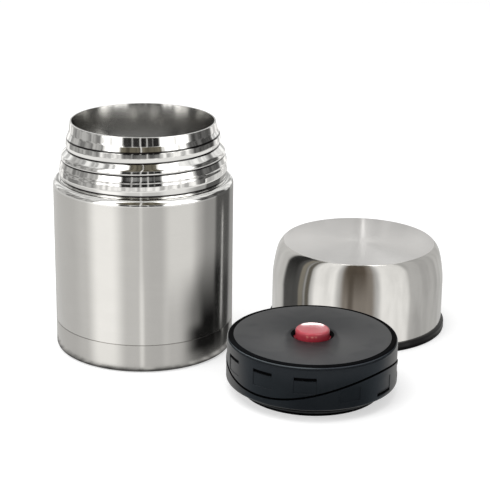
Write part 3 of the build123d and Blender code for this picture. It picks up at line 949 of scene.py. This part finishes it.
@dataclass
class Stopper:
    """The stopper: cover, threaded body, plug and push button."""

    grip: Grip = field(default_factory=Grip)
    cover_r: float = 45.15
    cover_wall: float = 0.9
    top_z: float = 30.5
    top_wall: float = 1.8
    top_round: float = 1.9
    hole_r: float = 10.0
    well_r: float = 11.3
    well_wall: float = 1.4
    well_floor_z: float = 17.4
    sink: float = 0.9
    deck_z: float = 24.4
    deck_wall: float = 2.0
    skirt_r: float = 43.2
    skirt_z: float = 6.5
    skirt_wall: float = 1.0
    band_r: float = 45.5
    pad_h: float = 7.0
    pad_depth: float = 0.3
    upper_slot_depth: float = 0.75
    lower_slot_depth: float = 0.9
    upper_pad_z: float = 15.6
    lower_pad_z: float = 10.6
    line_gap: float = 1.0
    ring_w: float = 1.5
    hole_bevel: float = 1.5
    stem_r: float = 2.08
    ceiling_z: float = 32.6
    button_r: float = 9.2
    button_z: float = 34.05
    button_in_r: float = 7.6
    flange_r: float = 10.8
    flange_z: float = 27.6
    flange_top: float = 28.5
    boss_r: float = 3.2
    boss_z: float = 26.6
    pin_r: float = 2.0
    travel: float = 3.0
    coil_r: float = 5.9
    wire_r: float = 0.4
    coil_turns: int = 3
    plug_r: float = 37.6
    plug_wall: float = 1.6
    plug_floor: float = 1.8
    plug_round: float = 1.2
    recess_r: float = 10.0
    recess_z: float = 8.0
    vent_r: float = 4.0
    vent_z: float = 16.0
    seal_z: float = 2.6
    seal_h: float = 3.2
    seal_depth: float = 0.9

    def cover(self) -> None:
        """Top and side down to the wavy line, with pads and slots above the line, and painted shade in the
        slots, round the button's hole and along the top edge.
        """
        inner_r = self.cover_r - self.cover_wall
        under_z = self.top_z - self.top_wall
        deck_top = self.deck_z + self.deck_wall
        pad_top = self.upper_pad_z + self.pad_h
        slot_top = pad_top + self.grip.slot_h
        edge_r, ring_low = self.cover_r - self.top_round, self.top_z - 0.01
        outline = [
            (self.hole_r, self.top_z - self.sink), (self.hole_r + self.hole_bevel, self.top_z),
            (edge_r - self.ring_w, self.top_z), (edge_r - self.ring_w + 0.2, self.top_z - 0.25),
            (edge_r - 0.2, self.top_z - 0.25), (edge_r, self.top_z),
            (self.cover_r, self.top_z, self.top_round), (self.cover_r, slot_top),
            (self.cover_r, pad_top), (self.cover_r, self.upper_pad_z), (self.cover_r, self.skirt_z),
            (inner_r, self.skirt_z), (inner_r, under_z), (self.well_r + self.well_wall, under_z),
            (self.well_r + self.well_wall, deck_top), (self.well_r, deck_top), (self.well_r, under_z),
            (self.hole_r, under_z),
        ]
        work = Turned(outline, GRIP_STEPS, start_deg=0.5)

        def above_line(spot: Vector) -> Vector:
            """Lifts a point of the side to the wavy line.

            Args:
                spot: The point, before.

            Returns:
                The point, moved if it lies on the side.
            """
            if off_axis(spot) < inner_r - 0.1:
                return spot
            return Vector((spot.x, spot.y, max(spot.z, self.grip.line(front_angle(spot)) + self.line_gap)))

        work.move(above_line)
        work.clean()
        work.paint(2, lambda spot: spot.z > self.top_z - self.top_round and off_axis(spot) > edge_r)
        # Painted shade and painted dark reflection: the shallow groove and the upper part of the rounded top
        # edge are near black.
        ring_r, ring_floor = edge_r - self.ring_w, self.top_z - 0.6
        work.paint(1, lambda spot: ring_floor < spot.z < ring_low and off_axis(spot) > ring_r)
        # Painted shade: the bevel round the button's hole is near black, for the gap round the button.
        work.paint(1, lambda spot: spot.z < ring_low and off_axis(spot) < self.hole_r + self.hole_bevel)
        outside = self.cover_r - self.cover_wall / 2
        for middle in self.grip.middles(upper=True):
            pad = (self.upper_pad_z, pad_top, self.pad_depth)
            slot = (pad_top, slot_top, self.upper_slot_depth)
            self.grip.press(work, middle, pad, slot, outside)
        made = Made("stopper_cap", Body.STOPPER, Slot.BLACK, STOPPER_PLACE, COVER_FINISHES, ["stopper_cover"])
        made.finish(work)

    def body(self) -> None:
        """Threaded skirt with the wavy band, the deck and the button's well."""
        outer_r = self.skirt_r + self.skirt_wall
        deck_top = self.deck_z + self.deck_wall
        well_under = self.well_floor_z - self.well_wall
        pad_top = self.lower_pad_z + self.pad_h
        slot_low = self.lower_pad_z - self.grip.slot_h
        line_top = self.grip.mean_z + self.grip.rise
        outline = [
            (self.skirt_r + 0.7, self.skirt_z, 0.2), (self.band_r, self.skirt_z, 1.0),
            (self.band_r, slot_low), (self.band_r, self.lower_pad_z), (self.band_r, pad_top),
            (self.band_r, line_top), (outer_r, line_top), (outer_r, deck_top), (self.well_r, deck_top),
            (self.well_r, self.well_floor_z), (self.stem_r, self.well_floor_z),
            (self.stem_r, well_under), (self.well_r + self.well_wall, well_under),
            (self.well_r + self.well_wall, self.deck_z), (self.skirt_r, self.deck_z),
            (self.skirt_r, self.skirt_z + 1.4),
        ]
        work = Turned(outline, GRIP_STEPS, start_deg=0.5)

        def below_line(spot: Vector) -> Vector:
            """Lowers a point of the band to the wavy line.

            Args:
                spot: The point, before.

            Returns:
                The point, moved if it lies on the band.
            """
            if off_axis(spot) < outer_r - 0.01 or spot.z > line_top + 0.01:
                return spot
            return Vector((spot.x, spot.y, min(spot.z, self.grip.line(front_angle(spot)))))

        work.move(below_line)
        work.clean()
        # Painted shade: the wall that shows in the gap under the wavy line is near black.
        ledge = (outer_r - 0.1, self.band_r - 0.1)
        work.paint(1, lambda spot: spot.z > self.skirt_z + 2 and ledge[0] < off_axis(spot) < ledge[1])
        work.paint(2, lambda spot: spot.z < self.skirt_z + 1.0)
        outside = self.band_r - 0.2
        for middle in self.grip.middles(upper=False):
            roomy = self.grip.line(middle) > pad_top + self.grip.slot_h
            slot = (slot_low, self.lower_pad_z, self.lower_slot_depth) if roomy else None
            self.grip.press(work, middle, (self.lower_pad_z, pad_top, self.pad_depth), slot, outside)
        replaces = ["stopper_body"]
        Made("stopper_skirt", Body.STOPPER, Slot.BLACK, STOPPER_PLACE, COVER_FINISHES, replaces).finish(work)

    def plug(self) -> None:
        """Hollow plug with the vent valve's recess below."""
        inner_r = self.plug_r - self.plug_wall
        groove_r = self.plug_r - self.seal_depth
        outline = [
            (self.recess_r, 0.0, 0.3), (self.plug_r, 0.0, self.plug_round),
            (self.plug_r, self.seal_z, 0.1), (groove_r, self.seal_z),
            (groove_r, self.seal_z + self.seal_h), (self.plug_r, self.seal_z + self.seal_h, 0.1),
            (self.plug_r, self.deck_z), (inner_r, self.deck_z), (inner_r, self.plug_floor),
            (self.recess_r + self.plug_wall, self.plug_floor),
            (self.recess_r + self.plug_wall, self.recess_z + self.plug_wall),
            (self.vent_r + self.plug_wall, self.recess_z + self.plug_wall),
            (self.vent_r + self.plug_wall, self.vent_z), (self.vent_r, self.vent_z),
            (self.vent_r, self.recess_z), (self.recess_r, self.recess_z, 0.5),
        ]
        work = Turned(outline)
        # Painted shade: the plug's side below the skirt is near black.
        work.paint(1, lambda spot: spot.z < self.skirt_z)
        made = Made("stopper_plug", Body.STOPPER, Slot.BLACK, STOPPER_PLACE, [BLACK, PAINTED_SHADE], ["plug_cup"])
        made.finish(work)

    def button(self) -> None:
        """Red button with a rounded edge and a slightly hollowed top."""
        outline = [
            (0.0, self.button_z - 0.15), (self.button_r, self.button_z, 1.5),
            (self.button_r - 0.1, self.flange_top), (self.flange_r, self.flange_top, 0.2),
            (self.flange_r, self.flange_z), (self.button_in_r, self.flange_z),
            (self.button_in_r, self.ceiling_z), (self.boss_r, self.ceiling_z),
            (self.boss_r, self.boss_z), (self.pin_r, self.boss_z), (self.pin_r, self.ceiling_z),
            (0.0, self.ceiling_z),
        ]
        made = Made("vent_button", Body.BUTTON, Slot.RED, STOPPER_PLACE, [RED], ["push_button"])
        made.finish(Turned(outline))

    def spring(self) -> None:
        """Coil under the button; the real one shortens as the button goes down, this one keeps its length."""
        low, high = self.well_floor_z + self.wire_r, self.ceiling_z - self.wire_r
        coil = Coil(self.coil_r, self.wire_r, low, high, self.coil_turns)
        made = Made("vent_spring", Body.STOPPER, Slot.SPRING, STOPPER_PLACE, [WIRE], ["button_spring"])
        piece = made.finish(coil)
        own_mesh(piece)

    def build(self) -> None:
        """Builds every visible piece of the stopper."""
        self.cover()
        self.body()
        self.plug()
        self.button()
        self.spring()


# ---- cup lid
@dataclass
class CupLid:
    """The cup lid: drawn steel cup over a moulded black one with the rim ring."""

    lid_r: float = 50.0
    lid_h: float = 50.5
    wall: float = 0.5
    side_z: float = 28.0
    knee_r: float = 47.4
    knee_z: float = 45.4
    crease_r: float = 43.9
    ring_h: float = 4.5
    ring_r: float = 51.65
    thread_r: float = 47.1
    cup_r: float = 49.2
    cup_in_r: float = 47.9
    cup_top_z: float = 49.4
    cup_under_z: float = 48.0

    def flank(self, inset: float) -> list[Corner]:
        """Corners of the bulging side, moved in by a wall, from the foot to the crease.

        Args:
            inset: How far inside the outer face.

        Returns:
            Two corners whose roundings run on into one another.
        """
        knee_turn = 2 * math.atan2(self.lid_r - self.knee_r, self.knee_z - self.side_z)
        rise, run = self.lid_h - self.knee_z, self.knee_r - self.crease_r
        upper_turn = 2 * (math.atan2(run, rise) - knee_turn)
        low_span = math.hypot(self.lid_r - self.knee_r, self.knee_z - self.side_z)
        low_round = low_span / 2 / math.cos(knee_turn / 2) / math.tan(knee_turn / 2)
        high_round = math.hypot(rise, run) / 2 / math.cos(upper_turn / 2) / math.tan(upper_turn / 2)
        end_turn = knee_turn + upper_turn
        first_z = self.side_z + (low_round - inset) * math.tan(knee_turn / 2)
        first = Corner(self.lid_r - inset, first_z, low_round - inset)
        reach = (high_round - inset) * math.tan(upper_turn / 2)
        start = Vector((self.knee_r - inset * math.cos(knee_turn), self.knee_z - inset * math.sin(knee_turn)))
        second = start + reach * Vector((-math.sin(knee_turn), math.cos(knee_turn)))
        crease = Vector((self.crease_r - inset * math.cos(end_turn), self.lid_h - inset * math.sin(end_turn)))
        return [first, Corner(second.x, second.y, high_round - inset), Corner(crease.x, crease.y)]

    def steel(self) -> None:
        """Drawn steel cup with a crisp crease round its flat top."""
        outer, inner = self.flank(0.0), self.flank(self.wall)
        under_z = self.lid_h - self.wall
        outline = [
            (0.0, self.lid_h), (outer[2].r, self.lid_h, 0.35), outer[1], outer[0],
            (self.lid_r, self.ring_h), (self.lid_r - self.wall, self.ring_h), inner[0], inner[1],
            (inner[2].r, under_z), (0.0, under_z),
        ]
        work = Turned(outline)
        work.paint(1, lambda spot: spot.z > self.lid_h - 0.05)
        finishes = [LID_SIDE_STEEL, LID_TOP_STEEL]
        Made("lid_cup", Body.LID, Slot.LID, LID_PLACE, finishes, ["lid_shell"], sharp_deg=24.0).finish(work)

    def moulded(self) -> None:
        """Black inner cup with the threaded wall and the rim ring."""
        outline = [
            (50.2, 0.0, 0.2), (self.ring_r, 0.0, 0.8), (self.ring_r, self.ring_h, 0.8),
            (self.cup_r, self.ring_h), (self.cup_r, 27.9), (46.6, 45.1), (43.0, self.cup_top_z),
            (0.0, self.cup_top_z), (0.0, self.cup_under_z), (42.4, self.cup_under_z, 1.0),
            (45.3, 44.7, 3.0), (self.cup_in_r, 27.6, 4.0), (self.cup_in_r, 15.0, 0.4),
            (self.thread_r, 14.0, 0.4), (self.thread_r, 3.9), (48.3, 3.7, 0.4),
        ]
        made = Made("lid_inner", Body.LID, Slot.GLOSS_BLACK, LID_PLACE, [GLOSS_BLACK], ["lid_inner_cup"])
        made.finish(Turned(outline))

    def build(self) -> None:
        """Builds both pieces of the lid."""
        self.steel()
        self.moulded()


# ---- studio
@dataclass(frozen=True)
class Card:
    """A light or dark part of the surroundings, as polished metal mirrors it.

    Left and right are degrees round from the camera's side to the right. Low and high are
    degrees up from the horizon in the far surroundings, and millimetres on a tent.
    """

    tone: float | Colour
    left: float
    right: float
    low: float = -100.0
    high: float = 200.0
    soft: float = 6.0
    blur: float = 6.0


def as_colour(tone: float | Colour) -> Colour:
    """A colour as it is, or the slightly warm grey of one level."""
    return tone if isinstance(tone, tuple) else (tone, tone * 0.992, tone * 0.972)


def lay_cards(
    sheet: Sheet, base: float | Colour, cards: Sequence[Card], turn: object, height: object
) -> Socket:
    """Lays cards over one another on a plain tone.

    Args:
        sheet: The sheet to add to.
        base: The plain tone.
        cards: The cards, the lowest first.
        turn: Output with the angle round, in degrees.
        height: Output with the height, in the unit of the cards.

    Returns:
        The colour's output.
    """
    seen = sheet.add("ShaderNodeRGB").outputs[0]
    seen.default_value = (*as_colour(base), 1.0)
    for card in cards:
        round_half, up_half = card.soft / 2, card.blur / 2
        edges = (
            (turn, card.left, round_half, 0.0, 1.0),
            (turn, card.right, round_half, 1.0, 0.0),
            (height, card.low, up_half, 0.0, 1.0),
            (height, card.high, up_half, 1.0, 0.0),
        )
        masks = [sheet.ramp(value, at - half, at + half, *ends) for value, at, half, *ends in edges]
        mask = masks[0]
        for other in masks[1:]:
            mask = sheet.math("MULTIPLY", mask, other)
        seen = sheet.blend(mask, seen, as_colour(card.tone))
    return seen


def streaks(sheet: Sheet, turn: object, height: object, low: float, high: float) -> Socket:
    """Uneven, mostly upright pattern between two levels, over angles in degrees.

    Args:
        sheet: The sheet to add to.
        turn: Output with the angle round.
        height: Output with the angle up.
        low: The pattern's lowest level.
        high: Its highest level.

    Returns:
        The level's output.
    """
    along = {0: sheet.math("MULTIPLY", turn, 0.12), 1: sheet.math("MULTIPLY", height, 0.03)}
    slim = sheet.add("ShaderNodeCombineXYZ", along)
    return sheet.ramp(sheet.noise(slim.outputs[0], 1.0, 3.0), 0.35, 0.65, low, high)


def turn_of(sheet: Sheet, parts: Sockets, ahead_deg: float = 0.0) -> Socket:
    """Angle of a place round the upright axis, in degrees to the right of a side.

    Args:
        sheet: The sheet to add to.
        parts: Outputs with the place's three parts.
        ahead_deg: Where the side lies, in degrees from the front to the right.

    Returns:
        The angle's output.
    """
    turn = sheet.math("DEGREES", sheet.math("ARCTAN2", parts[0], sheet.math("MULTIPLY", parts[1], -1.0)))
    return sheet.math("SUBTRACT", turn, ahead_deg)


@dataclass
class Tent:
    """Round screen close about a piece, which nothing but polished metal mirrors.

    It is lit on the side that faces its axis, or on top where it lies flat.
    """

    name: str
    place: Place
    foot: Corner
    head: Corner
    base: float | Colour
    cards: Sequence[Card]
    mottle: float = 0.0

    def material(self) -> bpy.types.Material:
        """Builds the material: light and dark panels on one side, and nothing on the other.

        Returns:
            The material.
        """
        centre = self.place.centre
        material, sheet, place = start_material(self.name, centre)
        material.cycles.emission_sampling = "NONE"
        parts = sheet.add("ShaderNodeSeparateXYZ", {0: place}).outputs
        turn = turn_of(sheet, parts, front_angle(Vector(CAMERA_SPOT) - centre))
        height = sheet.math("DIVIDE", parts[2], MM)
        seen = lay_cards(sheet, self.base, self.cards, turn, height)
        if self.mottle:
            stretched = {"Vector": place, "Scale": (1.0, 1.0, 0.25)}
            uneven = sheet.noise(sheet.add("ShaderNodeMapping", stretched).outputs[0], 110.0, 3.0)
            cloud = sheet.ramp(uneven, 0.3, 0.7, 1.0 - self.mottle, 1.0 + self.mottle)
            seen = sheet.add("ShaderNodeVectorMath", {0: seen, 1: cloud}, operation="MULTIPLY").outputs[0]
        glow = sheet.add("ShaderNodeEmission", {"Color": seen, "Strength": 1.0})
        clear = sheet.add("ShaderNodeBsdfTransparent")
        inside = sheet.add("ShaderNodeNewGeometry").outputs["Backfacing"]
        shown = sheet.add("ShaderNodeMixShader", {0: inside, 1: clear.outputs[0], 2: glow.outputs[0]})
        sheet.add("ShaderNodeOutputMaterial", {"Surface": shown.outputs[0]})
        return material

    def build(self) -> None:
        """Sets the tent up."""
        mesh = bmesh.new()
        mesh.edges.new([mesh.verts.new((corner.r, 0.0, corner.z)) for corner in (self.foot, self.head)])
        spin(mesh, BAR_STEPS)
        bmesh.ops.recalc_face_normals(mesh, faces=mesh.faces[:])
        first = mesh.faces[:][0]
        flat = self.foot.z == self.head.z
        if (first.normal.dot(first.calc_center_median()) < 0) != flat:
            bmesh.ops.reverse_faces(mesh, faces=mesh.faces[:])
        bmesh.ops.scale(mesh, vec=(MM, MM, MM), verts=mesh.verts[:])
        bmesh.ops.translate(mesh, vec=self.place.centre, verts=mesh.verts[:])
        data = mesh_of(self.name, mesh)
        data.shade_smooth()
        data.materials.append(self.material())
        tent = put_in_scene(self.name, data)
        for rays in ("camera", "diffuse", "shadow", "transmission"):
            setattr(tent, f"visible_{rays}", False)


CAMERA_SPOT = (0.0657, -0.8227, 0.3315)
LAMPS = (  # name, place in metres, side in metres, power in watts
    ("top_lamp", (-0.25, -0.15, 1.3), 1.2, 11.0),
    ("side_lamp", (-1.1, -0.9, 0.8), 0.7, 5.0),
)
# Painted contact shadows: round each foot, the floor as polished metal mirrors it is darkened; radii in
# metres.
FEET = ((JAR_PLACE, 0.050), (STOPPER_PLACE, 0.038), (LID_PLACE, 0.0515))  # where things darken the floor
WARM_DARK = (0.300, 0.268, 0.235)
FLOOR_GLINT = 1.02  # level of the floor as polished metal mirrors it
JAR_CARDS = (  # seen by the jar's side
    Card(0.8, -52, 0, soft=12),
    Card(1.34, -39, -17.5, soft=12),
    Card(0.98, -3, -1.2, soft=2),
    Card(1.12, -3.2, -0.6, high=50, soft=3, blur=40),
    Card(1.0, 15, 37, soft=8),
    Card(0.74, 15, 38, high=42, soft=8, blur=34),
    Card(0.42, 43.5, 180, soft=11),
    Card(0.3, 30, 86, high=44, soft=16, blur=34),
    Card(0.14, 39, 86, high=50, soft=14, blur=34),
    Card(0.002, 44, 62, low=5, high=32, soft=8, blur=26),
    Card(0.01, 34, 64, low=6, high=19, soft=16, blur=8),
    Card(0.12, 58.5, 86, soft=4),
    Card(0.015, 58, 67, low=5, high=54, soft=4, blur=20),
    Card(0.4, 84, 180, soft=6),
    Card(0.05, 72, 84, high=44, soft=4, blur=24),
    Card(0.95, 67.9, 69.6, low=16, high=82, soft=0.9, blur=18),
    Card(0.62, 114, 180, soft=10),
    Card(0.62, -184, -110, soft=10),
)
LID_CARDS = (  # seen by the lid
    Card(0.7, -110, -70, soft=6),
    Card(0.1, -67, -42, soft=5),
    Card((0.27, 0.25, 0.21), -47.5, -43, soft=2),
    Card((0.14, 0.13, 0.11), -41, -37, soft=2),
    Card(1.1, -34, -15.5, soft=5),
    Card(WARM_DARK, -11.5, 13, soft=5),
    Card((0.15, 0.13, 0.11), -6.5, -2.5, soft=3),
    Card(1.06, 17, 41, soft=5),
    Card(0.56, 45, 80, soft=8),
    Card(0.84, -200, -100, low=56, soft=20),
    Card(0.8, 100, 200, low=56, soft=20),
    Card(2.2, 177, 178.2, low=56, soft=0.8),
    Card(0.03, -66, -52, low=40, soft=5, blur=24),
    Card((0.11, 0.09, 0.07), -10, 8, low=38, soft=6, blur=30),
)
STOPPER_CARDS = (  # seen by the stopper
    Card(0.84, -200, -100, low=28, soft=20, blur=1),
    Card(0.84, 100, 200, low=28, soft=20, blur=1),
    Card((0.34, 0.4, 0.45), -56, 62, soft=24),
    Card((0.2, 0.26, 0.3), -42, 45, high=22, soft=20, blur=8),
    Card((0.05, 0.09, 0.12), -15, 40, high=17, soft=24, blur=14),
    Card((0.1, 0.12, 0.13), -90, 90, low=28, high=34, soft=20, blur=2),
    Card((3.2, 3.6, 3.8), -80, 6, low=32, soft=20, blur=4),
    Card((1.4, 1.6, 1.8), 6, 70, low=32, soft=20, blur=4),
)
BUTTON_CARDS = (  # glints and highlight on the button
    Card(8.0, -200, -152, low=35.2, soft=12, blur=0.4),
    Card(8.0, 152, 200, low=35.2, soft=12, blur=0.4),
    Card((5.0, 3.6, 2.6), -26, -18, low=30.8, high=31.8, soft=2, blur=0.4),
    Card((5.0, 3.6, 2.6), -5, 3, low=30.8, high=31.8, soft=2, blur=0.4),
    Card((5.0, 3.6, 2.6), 12, 19, low=30.8, high=31.8, soft=2, blur=0.4),
)
MOUTH_CARDS = (  # seen by the inside of the mouth
    Card(0.02, 76, 94, soft=10),
    Card(1.6, 101, 112, soft=5),
    Card(0.06, 117, 150, soft=8),
    Card(0.02, -92, -71, soft=8),
    Card(0.4, -104, -94, soft=10),
    Card(0.04, -140, -104, soft=6),
)
FAR_CARDS = (  # far surroundings, by angle up from the horizon
    Card(0.44, -130, -58, low=-20, high=32, soft=8),
    Card(2.3, -60, -26, high=80),
    Card(2.3, 30, 76, high=80),
    Card(0.13, 80, 130, low=-20, high=32, soft=8),
    Card((0.16, 0.145, 0.11), -36, 36, low=26, high=76, soft=10),
    Card(0.03, -27, 29, low=-20, high=22),
    Card(0.6, -13, -11, low=-20, high=22, soft=1),
    Card(1.0, -1, 1.2, low=-20, high=76, soft=1.2),
    Card(0.6, 9, 11, low=-20, high=22, soft=1),
    Card(0.4, 18, 19.5, low=-20, high=22, soft=1),
)
FLOOR_CARDS = (  # the floor as the neck mirrors it
    Card(0.44, -130, -62, low=-16, soft=8),
    Card(0.13, 80, 130, low=-16, soft=8),
    Card(0.03, -27, 29, low=-6),
    Card(0.6, -13, -11, low=-6, soft=1),
    Card(0.6, 9, 11, low=-6, soft=1),
)
TENTS = (
    Tent("jar_tent", JAR_PLACE, Corner(56.0, 0.2), Corner(56.0, 95.0), 0.70, JAR_CARDS),
    Tent("lid_tent", LID_PLACE, Corner(56.0, 0.2), Corner(56.0, 86.0), 0.62, LID_CARDS, mottle=0.10),
    Tent("stopper_tent", STOPPER_PLACE, Corner(47.5, 0.2), Corner(47.5, 44.0), 0.95, STOPPER_CARDS),
    Tent("button_ring", STOPPER_PLACE, Corner(13.0, 30.6), Corner(13.0, 36.5), 0.30, BUTTON_CARDS),
    Tent("shelf", JAR_PLACE, Corner(56.5, 52.0), Corner(215.0, 52.0), FLOOR_GLINT, []),
    Tent("mouth_card", JAR_PLACE, Corner(0.5, 98.0), Corner(41.0, 98.0), 0.24, MOUTH_CARDS),
)


@dataclass
class Studio:
    """Floor, light, surroundings and camera."""

    floor_r: float = 6.0
    floor_sink: float = 0.00005
    floor_tone: Colour = (0.88, 0.88, 0.88)
    floor_lift: float = 0.55
    floor_share: float = 0.62
    background: float = 1.0
    fill: float = 0.55
    surroundings: Colour = (0.84, 0.84, 0.83)
    cards: Sequence[Card] = FAR_CARDS
    neck_z: float = 0.115
    floor_cards: Sequence[Card] = FLOOR_CARDS
    lamp_aim: Spot = (0.06, 0.0, 0.05)
    lens: float = 113.08
    sensor: float = 36.0
    pitch: float = 0.3207
    yaw: float = -0.0107
    roll: float = 0.0132

    def floor(self) -> None:
        """Plain pale floor, white to the camera apart from the shadows."""
        mesh = bmesh.new()
        bmesh.ops.create_circle(mesh, cap_ends=True, cap_tris=False, segments=96, radius=self.floor_r)
        bmesh.ops.translate(mesh, vec=(0.0, 0.0, -self.floor_sink), verts=mesh.verts[:])
        data = mesh_of("floor", mesh)
        material = bpy.data.materials.new("floor_pale")
        material.use_nodes = True
        material.cycles.emission_sampling = "NONE"
        sheet = Sheet(material.node_tree)
        own = sheet.add("ShaderNodeTexCoord").outputs["Object"]
        tone = sheet.blend(sheet.noise(own, 3.0), self.floor_tone, tinted(self.floor_tone, 1.01))
        path = sheet.add("ShaderNodeLightPath").outputs
        plain = sheet.add("ShaderNodeBsdfDiffuse", {"Color": tone})
        held = sheet.add("ShaderNodeBsdfDiffuse", {"Color": (self.floor_share,) * 3 + (1.0,)})
        lift = sheet.add("ShaderNodeEmission", {"Color": WHITE_LIGHT, "Strength": self.floor_lift})
        white = sheet.add("ShaderNodeAddShader", {0: held.outputs[0], 1: lift.outputs[0]})
        parts = sheet.add("ShaderNodeSeparateXYZ", {0: own}).outputs
        span = sheet.add("ShaderNodeVectorMath", {0: own}, operation="LENGTH").outputs["Value"]
        below = sheet.math("MULTIPLY", sheet.math("DEGREES", sheet.math("ARCTAN2", self.neck_z, span)), -1.0)
        turn = turn_of(sheet, parts)
        seen = lay_cards(sheet, (1.0, 0.99, 0.97), self.floor_cards, turn, below)
        pattern = streaks(sheet, turn, sheet.math("MULTIPLY", below, 4.0), 0.55, 1.3)
        level = sheet.math("MULTIPLY", pattern, FLOOR_GLINT)
        # Painted contact shadow: the floor's mirrored level falls near each foot.
        for place, radius in FEET:
            points = {0: own, 1: place.centre}
            away = sheet.add("ShaderNodeVectorMath", points, operation="DISTANCE").outputs["Value"]
            level = sheet.math("MULTIPLY", sheet.ramp(away, radius - 0.002, radius + 0.012, 0.08, 1.0), level)
        mirrored = sheet.add("ShaderNodeEmission", {"Color": seen, "Strength": level})
        shown = plain
        for rays, seen_by in (("Is Glossy Ray", mirrored), ("Is Camera Ray", white)):
            ends = {0: path[rays], 1: shown.outputs[0], 2: seen_by.outputs[0]}
            shown = sheet.add("ShaderNodeMixShader", ends)
        sheet.add("ShaderNodeOutputMaterial", {"Surface": shown.outputs[0]})
        data.materials.append(material)
        floor = put_in_scene("floor", data)

    def world(self) -> None:
        """White surroundings for the camera, an even fill, and the studio's cards for polished metal."""
        world = bpy.data.worlds.new("studio")
        bpy.context.scene.world = world
        world.use_nodes = True
        sheet = Sheet(world.node_tree)
        towards = sheet.add("ShaderNodeTexCoord").outputs["Generated"]
        parts = sheet.add("ShaderNodeSeparateXYZ", {0: towards}).outputs
        height = sheet.math("DEGREES", sheet.math("ARCSINE", parts[2]))
        turn = turn_of(sheet, parts)
        seen = lay_cards(sheet, self.surroundings, self.cards, turn, height)
        cloud = streaks(sheet, turn, height, 0.5, 1.5)
        seen = sheet.add("ShaderNodeVectorMath", {0: seen, 1: cloud}, operation="MULTIPLY").outputs[0]
        path = sheet.add("ShaderNodeLightPath").outputs
        mirrored = sheet.math("MAXIMUM", path["Is Glossy Ray"], path["Is Transmission Ray"])
        fill = sheet.add("ShaderNodeBackground", {"Color": WHITE_LIGHT, "Strength": self.fill})
        cards = sheet.add("ShaderNodeBackground", {"Color": seen, "Strength": 1.0})
        plain = sheet.add("ShaderNodeBackground", {"Color": WHITE_LIGHT, "Strength": self.background})
        shown = fill
        for rays, seen_by in ((mirrored, cards), (path["Is Camera Ray"], plain)):
            ends = {0: rays, 1: shown.outputs[0], 2: seen_by.outputs[0]}
            shown = sheet.add("ShaderNodeMixShader", ends)
        sheet.add("ShaderNodeOutputWorld", {"Surface": shown.outputs[0]})

    def lamp(self, name: str, spot: Spot, size: float, power: float) -> None:
        """Adds a soft square lamp that faces the middle of the set.

        Args:
            name: The lamp's name.
            spot: Where it hangs, in metres.
            size: Its side.
            power: Its power in watts.
        """
        data = bpy.data.lights.new(name, "AREA")
        data.shape, data.size, data.energy = "SQUARE", size, power
        lamp = put_in_scene(name, data)
        aim = Vector(self.lamp_aim) - Vector(spot)
        lamp.matrix_world = Matrix.Translation(spot) @ aim.to_track_quat("-Z", "Y").to_matrix().to_4x4()
        lamp.visible_camera = False
        lamp.visible_glossy = False

    def camera(self) -> None:
        """Camera a little above the things, looking down on them."""
        flat = math.cos(self.pitch)
        ahead = Vector((math.sin(self.yaw) * flat, math.cos(self.yaw) * flat, -math.sin(self.pitch)))
        level = Vector((math.cos(self.yaw), -math.sin(self.yaw), 0.0))
        over = level.cross(ahead)
        right = math.cos(self.roll) * level + math.sin(self.roll) * over
        up = math.cos(self.roll) * over - math.sin(self.roll) * level
        data = bpy.data.cameras.new("camera")
        data.lens, data.sensor_width, data.sensor_fit = self.lens, self.sensor, "HORIZONTAL"
        data.clip_start, data.clip_end = 0.01, 50.0
        camera = put_in_scene("camera", data)
        turned = Matrix((right, up, -ahead)).transposed().to_4x4()
        camera.matrix_world = Matrix.Translation(CAMERA_SPOT) @ turned
        bpy.context.scene.camera = camera

    def build(self) -> None:
        """Sets the studio up."""
        bpy.context.scene.view_settings.view_transform = "Standard"
        self.floor()
        for tent in TENTS:
            tent.build()
        self.world()
        for lamp in LAMPS:
            self.lamp(*lamp)
        self.camera()


def dress_nodes() -> None:
    """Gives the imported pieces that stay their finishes."""
    for name, finish in NODE_FINISHES.items():
        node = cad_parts[name]
        material = finish.build(Place(name).centre)
        if node.material_slots:
            node.material_slots[0].material = material
        else:
            node.data.materials.append(material)
        LOG.info("%s: dressed as %s", name, finish.name)


def main() -> None:
    """Builds the pieces in order, dresses the rest and sets the studio up."""
    logging.basicConfig(level=logging.INFO, format="%(message)s")
    Jar().build()
    Stopper().build()
    CupLid().build()
    dress_nodes()
    Studio().build()


if __name__ == "__main__":
    main()
